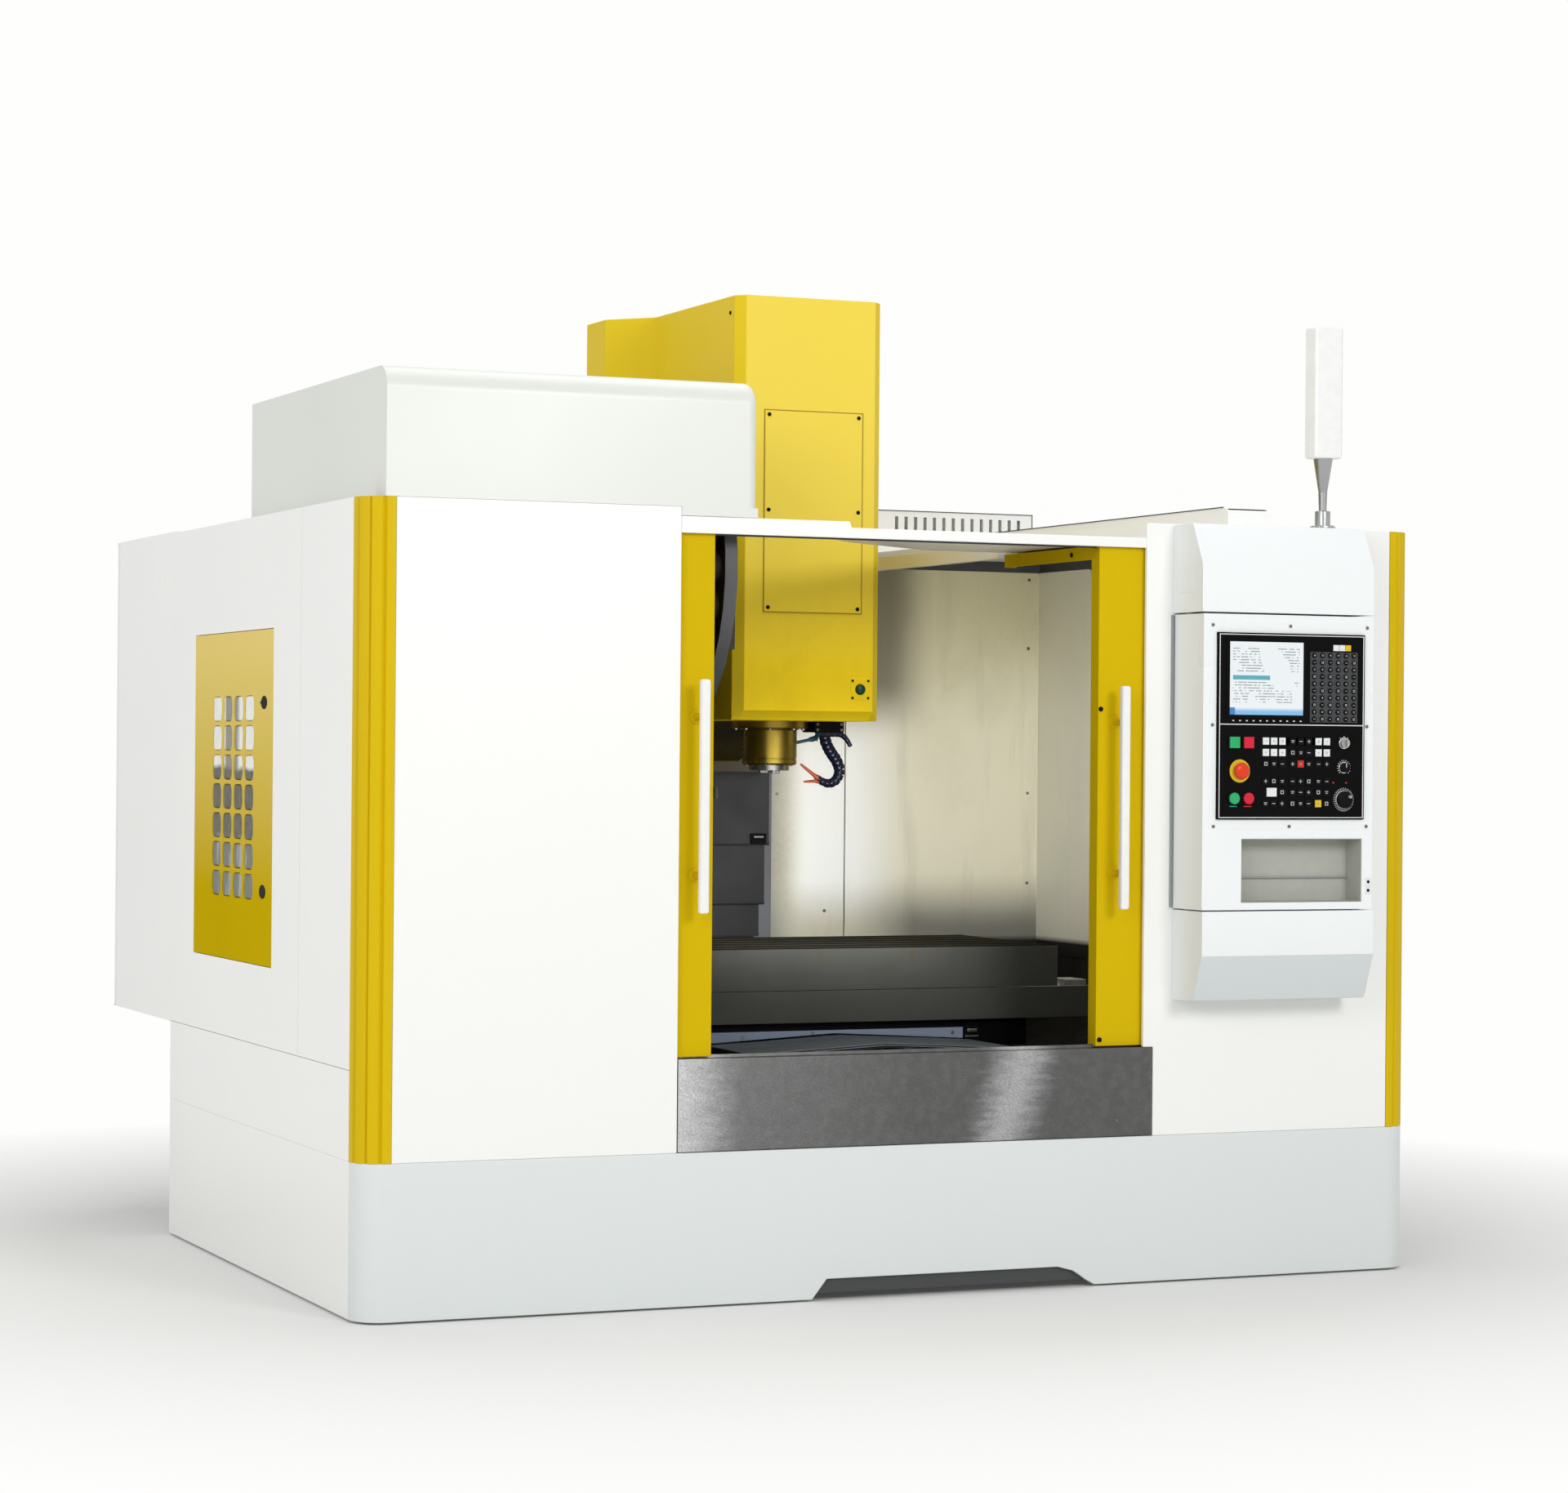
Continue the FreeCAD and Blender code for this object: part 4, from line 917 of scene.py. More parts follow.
class MACHINE_OT_doors(bpy.types.Operator):
    """Sliding doors and their pull bars"""
    bl_idname = "machine.doors"
    bl_label = "Doors and handles"

    def execute(self, context):
        enamel = moulded("handle_enamel", (0.88, 0.88, 0.86), 0.25, 0.0)
        for side, x in HANDLES.items():
            node = side + "_door"
            leaf = without(painted(node), lambda spot, _: spot.y < DOOR_FACE - 0.0005)
            finished(node, sizes().sheet, leaf)
            handle = pull_bar(x, enamel, paint_of(node))
            if side == "right":
                buffer = screw_head(0.0075, 0.0035, shared_paints()["dark"], "-X")
                handle += scatter(buffer, [mm(600, -1160, 2198)])
            add_on(side + "_door_handle", node, handle)
        return {"FINISHED"}


# ---------------------------------------------------------------- control station

PANEL_MM = -1550
PANEL_FACE = PANEL_MM / 1000
BOX_FACE = -1.540
GLASS = mm(929, 1185, 1714, 1933)
SOFT_KEYS = 11
KEY_COLUMNS = (1054, 1082, 1111, 1147, 1175, 1203, 1237, 1266)
KEY_ROWS = (1636, 1602, 1568, 1516, 1483, 1449)
KNOB_X, STOP_Z, FEED_Z, OVERRIDE_Z = 1327, 1546, 1461, 1558
TICKS = (
    # half width, inner and outer end, height of the knob, count, first angle and sweep in degrees
    (0.6, 30.5, 36, FEED_Z, 36, 0.0, 360.0),
    (0.7, 19, 24, OVERRIDE_Z, 15, -135.0, 270.0),
    (0.7, 18, 22, 1632, 3, -40.0, 80.0),
)
PLATE_SCREWS = ((875, 1981), (1142, 1982), (1411, 1982), (875, 1683), (1412, 1683),
                (881, 1380), (1142, 1380), (1412, 1380))


def screen_picture():
    """Lit display: white page with grey dashes in blocks, a teal bar and a pale blue foot band."""
    left, right, low, high = GLASS
    page = Finish("screen_picture", Base_Color=(0.02, 0.02, 0.02, 1.0), Roughness=0.3)
    across = (page.axis("X") - left) / (right - left)
    upward = (page.axis("Z") - low) / (high - low)
    rows = upward * 26.0
    line = rows.maths("FRACT", rows)
    words = page.noise(120.0, 1.0, (1.0, 0.02, 0.5)) > 0.46
    blocks = page.noise(17.0, 0.0, (1.0, 0.02, 0.8)) > 0.41
    column = (across > 0.05) * (across < 0.95) * (upward > 0.17) * (upward < 0.94)
    gap = 1.0 - (upward > 0.45) * (upward < 0.58)
    written = (line > 0.40) * (line < 0.72) * words * blocks * column * gap
    tint = page.mix(written, (0.86, 0.91, 0.92), (0.26, 0.29, 0.33))
    tint = page.mix((across > 0.05) * (across < 0.55) * (upward > 0.48) * (upward < 0.54), tint,
                    (0.07, 0.40, 0.48))
    tint = page.mix(page.ramp(upward, 0.10, 0.05), tint, (0.22, 0.52, 0.86))
    tint = page.mix((across < 0.08) * (upward < 0.10), tint, (0.03, 0.20, 0.60))
    page.set(Emission_Color=tint, Emission_Strength=0.92)
    page.set(Normal=page.bump(page.noise(400.0, 2.0), 0.05, 0.0001))
    return page.material


def shared_paints():
    """Plastics and metals of keys, trims and screws; each is made once and then found by its name."""
    recipes = {
        "dark": (moulded, "key_dark", (0.006, 0.006, 0.006), 0.42, 0.15, 0.06),
        "grey": (moulded, "key_grey", (0.33, 0.35, 0.36), 0.42),
        "bed": (moulded, "key_bed", (0.050, 0.052, 0.055), 0.5),
        "mark": (moulded, "key_mark", (0.50, 0.51, 0.51), 0.5),
        "white": (moulded, "key_white", (0.78, 0.80, 0.79), 0.36),
        "red": (moulded, "key_red", (0.55, 0.03, 0.02), 0.34),
        "yellow": (moulded, "key_yellow", (0.72, 0.50, 0.02), 0.34),
        "teal": (moulded, "mark_teal", (0.01, 0.30, 0.27), 0.4),
        "sheet": (moulded, "panel_film", (0.004, 0.004, 0.004), 0.5, 0.3, 0.04),
        "chrome": (oiled_steel, "trim_chrome", (0.75, 0.76, 0.76), 0.16, 1.0),
        "screw": (oiled_steel, "screw_steel", (0.22, 0.21, 0.20), 0.28, 0.9),
    }
    return {key: bpy.data.materials.get(name) or make(name, *looks)
            for key, (make, name, *looks) in recipes.items()}


def sign(kind, scale, paint):
    """Parts of a plain sign on the origin: a bar, a cross, a small ring or two dashes."""
    reach, thin, depth = 0.0042 * scale, 0.0008 * scale, 0.0005
    if kind == 2:
        hole = 0.6 * reach
        return [border((-reach, reach, -reach, reach), (-hole, hole, -hole, hole), 0.0, -depth,
                       paint, 0.0001)]
    bars = {0: ((reach, thin, 0.0),), 1: ((reach, thin, 0.0), (thin, reach, 0.0)),
            3: ((reach, thin, 0.4 * reach), (0.7 * reach, thin, -0.5 * reach))}[kind]
    return [block((-wide, -depth, lift - tall), (wide, 0.0, lift + tall), paint, 0.0001)
            for wide, tall, lift in bars]


def signs(places, lift, scale, paint):
    """Signs on keys, from (number, place) pairs; the number picks one of the four signs by turns."""
    found = []
    for kind in range(4):
        spots = [(x, y - lift, z) for number, (x, y, z) in places if number % 4 == kind]
        for part in sign(kind, scale, paint):
            found += scatter(part, spots)
    return found


class MACHINE_OT_display(bpy.types.Operator):
    """Display unit with its lit screen, soft keys and round key pad"""
    bl_idname = "machine.display"
    bl_label = "Display and key pad"

    def execute(self, context):
        paint = shared_paints()
        body = without(merged("screen_unit"), lambda spot, _: spot.y < PANEL_FACE - 0.0002)
        body = coat(ease_edges(body, 0.0012), paint["sheet"])
        left, right, low, high = GLASS
        picture = block((left, -1.5468, low), (right, -1.5462, high), screen_picture(), 0.0001)
        bezel = border((left - 0.012, right + 0.012, low - 0.010, high + 0.012), GLASS,
                       PANEL_FACE, PANEL_FACE - 0.0022, paint["sheet"])
        stand_in("screen_unit", [body, picture, bezel, *self.soft_keys(paint), *self.key_pad(paint)])
        return {"FINISHED"}

    def soft_keys(self, paint):
        """Flat keys in a row under the screen, each with a white mark."""
        left, right = GLASS[:2]
        pitch = (right - left) / SOFT_KEYS
        spots = [(left + pitch * (k + 0.5), PANEL_FACE, 1.6965) for k in range(SOFT_KEYS)]
        caps = scatter(key_cap(0.017, 0.0085, 0.0025, paint["dark"]), spots)
        mark = block(mm(-3, -0.4, -1.6), mm(3, 0, 1.6), paint["white"], 0.0001)
        return caps + scatter(mark, [(x, y - 0.0020, z) for x, y, z in spots])

    def key_pad(self, paint):
        """Six by ten round keys on a grey bed, and three keys above them."""
        top = PANEL_FACE - 0.0012
        bed = block((1.2065, top, 1.6935), (1.3725, PANEL_FACE, 1.9060), paint["bed"])
        spots = [(1.2200 + 0.0277 * column, top, 1.7040 + 0.0213 * row)
                 for column in range(6) for row in range(10)]
        profile = [(0.0082, 0.0), (0.0082, 0.0016), (0.0074, 0.0024), (0.0050, 0.0029), (0.0012, 0.0030)]
        keys = scatter(turned(profile, ORIGIN, "-Y", paint["dark"], 16), spots)
        keys += signs(list(enumerate(spots)), 0.0028, 0.8, paint["mark"])
        for tint, across in (("white", (1.296, 1.317)), ("yellow", (1.338,))):
            keys += scatter(key_cap(0.0195, 0.018, 0.003, paint[tint]),
                            [(x, PANEL_FACE, 1.9190) for x in across])
        return [bed] + keys


class MACHINE_OT_operator_panel(bpy.types.Operator):
    """Operator panel: square lamp keys, scales of the knobs, collars of the push buttons"""
    bl_idname = "machine.operator_panel"
    bl_label = "Operator panel"

    def execute(self, context):
        paint = shared_paints()
        body = without(merged("operator_panel"), lambda spot, _: spot.y < PANEL_FACE - 0.0002)
        body = coat(ease_edges(body, 0.0012), paint["sheet"])
        stand_in("operator_panel", [body, *self.keys(paint), *self.scales(paint), *self.collars(paint)])
        return {"FINISHED"}

    def tint_of(self, row, column):
        """Colour of a lamp key by its place."""
        if row < 2 and (column < 3 or column > 5):
            return "white"
        if (row, column) == (2, 4):
            return "red"
        return "yellow" if (row, column) == (5, 6) else "dark"

    def keys(self, paint):
        """Square lamp keys with their signs, and the wide key that takes the place of two."""
        places = {"dark": [], "white": [], "red": [], "yellow": []}
        for row, z in enumerate(KEY_ROWS):
            for column, x in enumerate(KEY_COLUMNS):
                if row != 4 or column > 1:
                    places[self.tint_of(row, column)].append((3 * row + column, mm(x, PANEL_MM, z)))
        found = scatter(key_cap(0.034, 0.026, 0.003, paint["white"]), [mm(1075, PANEL_MM, 1483)])
        for tint, spots in places.items():
            found += scatter(key_cap(0.0215, 0.0215, 0.003, paint[tint]), [spot for _, spot in spots])
            ink, scale = (paint["mark"], 1.3) if tint == "dark" else (paint["grey"], 0.8)
            found += signs(spots, 0.0023, scale, ink)
        return found

    def scales(self, paint):
        """Ticks round the feed dial and the two knobs, dots and bars beside them."""
        found = []
        for half, inner, outer, z, count, start, sweep in TICKS:
            tick = block(mm(-half, -0.5, inner), mm(half, 0, outer), paint["white"], 0.0001)
            found += ring_of(tick, mm(KNOB_X, PANEL_MM, z), count, start, sweep)
        dot = turned([(0.003, 0.0), (0.003, 0.001), (0.0018, 0.002)], ORIGIN, "-Y", paint["red"], 12)
        found += scatter(dot, [mm(1335, PANEL_MM, 1512), mm(1290, PANEL_MM, 1512)])
        for x, tint in ((944, "teal"), (993, "red")):
            found.append(block(mm(x - 13, -1550.6, 1438.5), mm(x + 13, PANEL_MM, 1441.5), paint[tint],
                               0.0002))
        return found

    def collars(self, paint):
        """Seats of the buttons, the yellow ring of the stop button and plates behind the knobs."""
        square = [border(mm(x - 21, x + 21, 1610, 1652), mm(x - 17.8, x + 17.8, 1613.2, 1648.8),
                         PANEL_FACE, PANEL_FACE - 0.004, paint["dark"]) for x in (944, 992)]
        seat = [(0.0205, 0.0), (0.0205, 0.0030), (0.0190, 0.0040), (0.0182, 0.0040), (0.0182, 0.0008)]
        stop = [(0.0345, 0.0), (0.0345, 0.0022), (0.0335, 0.0030), (0.0170, 0.0030), (0.0165, 0.0008)]
        knob = [(0.0175, 0.0), (0.0175, 0.0012), (0.0168, 0.0018)]
        dial = [(0.0285, 0.0), (0.0285, 0.0010), (0.0280, 0.0014)]
        return square + [turned(profile, mm(x, PANEL_MM, z), "-Y", paint[tint], sides)
                         for profile, x, z, tint, sides in (
                             (seat, 944, 1464, "dark", 32), (seat, 993, 1464, "dark", 32),
                             (stop, 965, STOP_Z, "yellow", 40), (knob, KNOB_X, 1632, "chrome", 32),
                             (knob, KNOB_X, OVERRIDE_Z, "chrome", 32), (dial, KNOB_X, FEED_Z, "mark", 40))]


def fluted(radius, height, flutes, material):
    """Knob on the origin, facing the front, whose side is pressed in at every second face."""
    knob = turned([(radius, 0.0), (radius, height), (0.9 * radius, 1.12 * height)],
                  ORIGIN, "-Y", material, 2 * flutes)
    alone(knob)
    in_edit_mode()
    turn = math.pi / flutes

    def grooved(spot, normal):
        around = math.atan2(spot.z, spot.x) / turn
        return abs(normal.y) < 0.2 and math.floor(around) % 2 == 0

    pick_faces(knob, grooved)
    bpy.ops.mesh.inset(thickness=0.12 * radius * turn)
    bpy.ops.transform.resize(value=(0.95, 1.0, 0.95), center_override=ORIGIN)
    in_object_mode()
    return coat(ease_edges(knob, 0.0004, 1, 40.0), material)


class MACHINE_OT_controls(bpy.types.Operator):
    """Stop button, feed dial and override knob"""
    bl_idname = "machine.controls"
    bl_label = "Knobs and stop button"

    def execute(self, context):
        paint = shared_paints()
        dome = [(0.012, 0.0), (0.012, 0.046), (0.0185, 0.0475), (0.0245, 0.050), (0.0250, 0.0525),
                (0.0238, 0.0560), (0.0205, 0.0590), (0.0150, 0.0610), (0.0080, 0.0618), (0.0015, 0.0620)]
        stop = turned(dome, mm(965, -1512, STOP_Z), "-Y", paint_of("emergency_stop"), 40, 60.0)
        stand_in("emergency_stop", [stop])
        cap = [(0.019, 0.0), (0.019, 0.0004), (0.018, 0.0008), (0.0168, 0.0008), (0.0165, 0.0003)]
        spinner = [(0.0045, 0.0), (0.0045, 0.004), (0.0052, 0.0075), (0.0048, 0.0100), (0.0020, 0.0108)]
        feed = self.fluted_knob(0.026, 0.010, 24, FEED_Z, paint)
        feed.append(turned(cap, mm(KNOB_X, -1562, FEED_Z), "-Y", paint["dark"], 40))
        feed.append(turned(spinner, mm(1340, -1561, 1470), "-Y", paint["grey"], 20))
        stand_in("mode_dial", feed)
        knob = self.fluted_knob(0.015, 0.0125, 12, OVERRIDE_Z, paint)
        knob.append(block(mm(1326, -1566.4, 1558.5), mm(1328, -1564.6, 1571), paint["white"], 0.0003))
        stand_in("override_knob", knob)
        return {"FINISHED"}

    def fluted_knob(self, radius, height, flutes, z, paint):
        """Fluted knob on its steel stem, at a height in mm."""
        stem = [(0.006, 0.0), (0.006, 0.038), (0.005, 0.039)]
        grip = fluted(radius, height, flutes, paint["dark"])
        return [turned(stem, mm(KNOB_X, -1513, z), "-Y", paint["screw"], 16),
                *scatter(grip, [mm(KNOB_X, PANEL_MM - 1, z)])]


class MACHINE_OT_station(bpy.types.Operator):
    """Instrument plate, trims, tray lining in grey as painted shade, hood cover and screws of the control
    station
    """
    bl_idname = "machine.station"
    bl_label = "Control station trim"

    def execute(self, context):
        paint = shared_paints()
        enamel = paint_of("control_box")
        plate = border(mm(865, 1425, 1372, 1992), mm(889, 1399, 1401, 1960), BOX_FACE, BOX_FACE - 0.0015,
                       enamel, 0.0004)
        screws = scatter(screw_head(0.0052, 0.0030, paint["screw"]),
                         [mm(x, -1541.5, z) for x, z in PLATE_SCREWS])
        trims = [border(mm(889.5, 1398.5, 1401.5, 1959.5), mm(892.3, 1395.7, 1404.3, 1956.7), BOX_FACE,
                        PANEL_FACE - 0.0004, paint["sheet"], 0.0004),
                 border(mm(893.5, 1395, 1405.5, 1955.5), mm(896.5, 1392, 1408.5, 1952.5), PANEL_FACE,
                        PANEL_FACE - 0.0014, paint["chrome"], 0.0006),
                 block(mm(896, -1551.6, 1683.6), mm(1392, -1549.5, 1687.0), paint["chrome"], 0.0006)]
        ledge = block(mm(981, -1462, 1222), mm(1397, -1452, 1226), paint["grey"], 0.001)
        add_on("control_box_trim", "control_box",
               [plate, *screws, *trims, *self.lock(paint), self.lining(), ledge])
        add_on("hood_cover", "control_housings",
               [block(mm(839.5, -1490, 2080), mm(841.5, -1398, 2204), enamel, 0.0006)])
        # grey strip: painted shade in the gap between the box and the panel
        add_on("station_gap_painted_shade", "right_front_panel",
               [block(mm(834, -1362.5, 1132), mm(849, -1360, 2014), paint["grey"], 0.0008)])
        return {"FINISHED"}

    def lock(self, paint):
        """White tab with two dots beside the tray."""
        tab = block(mm(1412, -1542, 1174), mm(1431, -1540, 1224), paint["white"], 0.0009)
        dots = scatter(screw_head(0.0045, 0.002, paint["dark"]), [mm(1421, -1542, z) for z in (1186, 1212)])
        return [tab] + dots

    def lining(self):
        """Grey lining of the open tray, painted shade in its recess: a box without its front, given a wall.
        """
        piece = cuboid(mm(980, -1538, 1153), mm(1398, -1451.5, 1342))
        in_edit_mode()
        pick_faces(piece, lambda spot, normal: normal.y < -0.9)
        bpy.ops.mesh.delete(type="FACE")
        in_object_mode()
        modify(piece, "SOLIDIFY", thickness=0.002)
        return coat(ease_edges(piece, 0.0006), moulded("tray_lining_painted_shade", (0.46, 0.465, 0.42), 0.6, 0.4))


# ---------------------------------------------------------------- head, spindle nose and coolant hoses

HEAD_FACE = -0.546
SEAM_BACK, SEAM_FRONT = -0.5435, -0.5456
ACCESS = mm(-156, 176, 2029, 2656)
SPINDLE_Y = -0.232
HOSE_Y = -0.252
HOSE_ROUTES = (
    # (x, z) and radius of each point, in mm
    (((182, 1664), 18), ((184, 1632), 19), ((204, 1594), 19), ((232, 1560), 19), ((241, 1524), 18),
     ((220, 1493), 16), ((184, 1490), 14), ((160, 1508), 11)),
    (((214, 1668), 11), ((218, 1652), 10), ((242, 1650), 9), ((264, 1634), 8), ((276, 1612), 7)),
)


class MACHINE_OT_head(bpy.types.Operator):
    """Access panel seam, screws, lower bevel and release button of the head"""
    bl_idname = "machine.head"
    bl_label = "Head trim"

    def execute(self, context):
        dark = shared_paints()["dark"]
        left, right, low, high = ACCESS
        seam = border((left - 0.003, right + 0.003, low - 0.003, high + 0.003), ACCESS,
                      SEAM_BACK, SEAM_FRONT, moulded("seam_dirt", (0.38, 0.25, 0.018), 0.6), 0.0002)
        spots = [(x, HEAD_FACE, z / 1000) for x in (left + 0.013, right - 0.013)
                 for z in (2042, 2346, 2643)]
        screws = scatter(screw_head(0.0062, 0.0030, dark), spots)
        marks = [(x, HEAD_FACE, z) for x in mm(149, 203) for z in mm(1763, 1817)]
        screws += scatter(screw_head(0.0042, 0.0016, dark), marks)
        screws += scatter(screw_head(0.0062, 0.0030, dark, "-X"), [mm(-249, -480, 2960)])
        add_on("head_trim", "head_cover", [seam, self.bevel_sheet(), *screws])
        dome = [(0.0160, 0.0), (0.0160, 0.0210), (0.0150, 0.0245), (0.0115, 0.0268), (0.0060, 0.0279),
                (0.0010, 0.0280)]
        cap = turned(dome, mm(176, -528, 1790), "-Y", paint_of("release_button"), 32, 60.0)
        stand_in("release_button", [cap])
        return {"FINISHED"}

    def bevel_sheet(self):
        """Sheet that closes the slope under the front of the head, wider at its lower edge."""
        half, lower_half, rise = 218, 247, 0.037
        sheet = cuboid(mm(-half, -543.5, 1690.5), mm(half, -540.5, 1721))
        in_edit_mode()
        pick_faces(sheet, lambda spot, normal: normal.z < -0.9)
        bpy.ops.transform.translate(value=(0.0, rise, 0.0))
        bpy.ops.transform.resize(value=(lower_half / half, 1.0, 1.0), center_override=ORIGIN)
        in_object_mode()
        return coat(ease_edges(sheet, 0.0006), paint_of("head_cover"))


class MACHINE_OT_spindle_nose(bpy.types.Operator):
    """Grooved barrel and flange of the spindle nose with their screws"""
    bl_idname = "machine.spindle_nose"
    bl_label = "Spindle nose"

    def execute(self, context):
        dark = shared_paints()["screw"]
        flange = [(0.123, 0.0), (0.123, 0.021), (0.121, 0.024), (0.095, 0.024), (0.093, 0.028),
                  (0.088, 0.030)]
        band = [(0.088, 0.118), (0.0862, 0.1195), (0.0862, 0.1225), (0.088, 0.124)]
        lip = [(0.088, 0.135), (0.0845, 0.1405), (0.0700, 0.1412), (0.0672, 0.1385), (0.0668, 0.130)]
        nose = turned(flange + band + lip, (0.0, SPINDLE_Y, 1.690), "-Z", paint_of("spindle_housing"),
                      64, 30.0)
        screws = scatter(screw_head(0.0070, 0.0055, dark, "-Z"),
                         [(x, SPINDLE_Y + y, 1.666) for x, y in round_places(8, 0.108, 0.5)])
        screws += scatter(screw_head(0.0042, 0.0030, dark, "-Z"),
                          [(x, SPINDLE_Y + y, 1.5488) for x, y in round_places(6, 0.0775)])
        stand_in("spindle_housing", [nose, *screws])
        return {"FINISHED"}


def hose_links(points, material):
    """Ball-jointed hose: waisted links set along the smooth line through the route's points."""
    centres = [(x / 1000, HOSE_Y, z / 1000) for (x, z), _ in points]
    radii = [radius / 1000 for _, radius in points]
    stops, pitch = even_steps(smooth_route(centres), sizes().link)
    profile = [(0.90, 0.0), (0.965, 0.08), (1.0, 0.25), (1.0, 0.70), (0.965, 0.90), (0.90, 1.0)]
    link = turned(profile, ORIGIN, "Z", material, 24, 50.0)
    links = []
    for share, place, way in stops:
        k = min(int(share * (len(radii) - 1)), len(radii) - 2)
        part = share * (len(radii) - 1) - k
        radius = radii[k] * (1 - part) + radii[k + 1] * part
        turn = way.to_track_quat("Z", "Y").to_matrix().to_4x4()
        size = Matrix.Diagonal((radius, radius, 1.05 * pitch, 1.0))
        links.append(copied(link, place - way * (0.5 * pitch), turn @ size))
    bpy.data.objects.remove(link)
    return links


def spike(root, tip, wide, fine, material):
    """Round tapered spout between two (x, z) points in mm, cut off square at its tip."""
    start, end = (Vector((x / 1000, HOSE_Y, z / 1000)) for x, z in (root, tip))
    reach = (end - start).length
    profile = [(0.8 * wide, 0.0), (wide, 0.1 * reach), (wide, 0.22 * reach), (0.6 * wide, 0.38 * reach),
               (fine, 0.97 * reach), (0.8 * fine, reach)]
    spout = turned(profile, ORIGIN, "Z", material, 20, 40.0)
    turn = (end - start).to_track_quat("Z", "Y").to_matrix().to_4x4()
    placed = copied(spout, start, turn)
    bpy.data.objects.remove(spout)
    return placed


class MACHINE_OT_coolant_hoses(bpy.types.Operator):
    """Manifold under the head with its jointed hoses, forked orange nozzle and valve lever"""
    bl_idname = "machine.coolant_hoses"
    bl_label = "Coolant hoses"

    def execute(self, context):
        plastic = paint_of("coolant_hoses")
        orange = moulded("nozzle_orange", (0.30, 0.045, 0.010), 0.35)
        teal = moulded("lever_teal", (0.008, 0.045, 0.055), 0.3)
        paint = shared_paints()
        parts = [block(mm(132, -292, 1655), mm(236, -192, 1689.5), paint["sheet"], 0.003)]
        for points in HOSE_ROUTES:
            (x, _), radius = points[0]
            collar = [mm(1.25 * radius, 0), mm(1.25 * radius, 10), mm(radius, 14)]
            parts.append(turned(collar, mm(x, 1000 * HOSE_Y, 1655), "-Z", plastic, 6, 20.0))
            parts += hose_links(points, plastic)
        parts += [spike((178, 1496), (101, 1553), 0.0105, 0.0035, orange),
                  spike((176, 1500), (112, 1496), 0.0090, 0.0030, orange),
                  spike((164, 1652), (150, 1632), 0.0120, 0.0100, teal),
                  spike((154, 1636), (84, 1621), 0.0085, 0.0050, teal)]
        parts += scatter(screw_head(0.0045, 0.003, paint["screw"]),
                         [mm(x, -292, z) for x in (142, 226) for z in (1663, 1681)])
        stand_in("coolant_hoses", parts)
        return {"FINISHED"}


# ---------------------------------------------------------------- tool magazine

MAGAZINE_Y, MAGAZINE_Z = -0.757, 2.130
DISC_SIDE = -0.580
POTS = 24
POT_CIRCLE = 0.430
RIM_INSIDE, BORE_OUTSIDE, HUB_OUTSIDE = 0.45, 0.031, 0.1
BORE_SPARE = 1.015


class MACHINE_OT_magazine(bpy.types.Operator):
    """Magazine disc with its steel rim, round tool pots, tool tapers and hub screws"""
    bl_idname = "machine.magazine"
    bl_label = "Tool magazine"

    def execute(self, context):
        dark = moulded("pot_plastic", (0.030, 0.020, 0.015), 0.35)

        def out(spot):
            return math.hypot(spot.y - MAGAZINE_Y, spot.z - MAGAZINE_Z)

        disc = without(painted("magazine_disc"),
                       lambda spot, _: spot.x < DISC_SIDE - 0.0002 and out(spot) > HUB_OUTSIDE)
        repaint(disc, cast_paint("magazine_rim", (0.10, 0.10, 0.11), 0.5),
                lambda spot, normal: abs(normal.x) < 0.2 and out(spot) > RIM_INSIDE)
        in_edit_mode()
        pick_faces(disc, lambda spot, normal: abs(normal.x) < 0.2 and out(spot) < BORE_OUTSIDE)
        bpy.ops.transform.resize(value=(1.0, BORE_SPARE, BORE_SPARE),
                                 center_override=(0.0, MAGAZINE_Y, MAGAZINE_Z))
        in_object_mode()
        ease_edges(disc, 0.0012, 2, 20.0)
        pot = [(0.046, 0.0), (0.048, 0.004), (0.048, 0.058), (0.042, 0.063), (0.042, 0.092),
               (0.036, 0.099), (0.016, 0.099), (0.015, 0.070)]
        pots = scatter(turned(pot, ORIGIN, "-X", dark, 24, 35.0),
                       [(DISC_SIDE + 0.0005, MAGAZINE_Y + across, MAGAZINE_Z - down)
                        for down, across in round_places(POTS, POT_CIRCLE)])
        screws = scatter(screw_head(0.007, 0.006, shared_paints()["screw"], "-X"),
                         [(-0.690, MAGAZINE_Y + across, MAGAZINE_Z + up)
                          for across, up in round_places(6, 0.058)])
        stand_in("magazine_disc", [disc, *pots, *screws])
        return {"FINISHED"}


# ---------------------------------------------------------------- side door with its filter fleece

SLOT_LOW = mm(-241, 1130)
SLOT_PITCH = mm(125.3, 90.3)
SLOT_SIZE = mm(105, 78)
SLOT_COUNT = (4, 7)
DOOR_SKIN = -1.700
PAD_GAP = 0.0008
LATCH_Y = -0.360
LATCH_PLATES = ((mm(-354, 1727), mm(70, 40), 0.014), (mm(-350, 1159), mm(72, 42), 0.0))


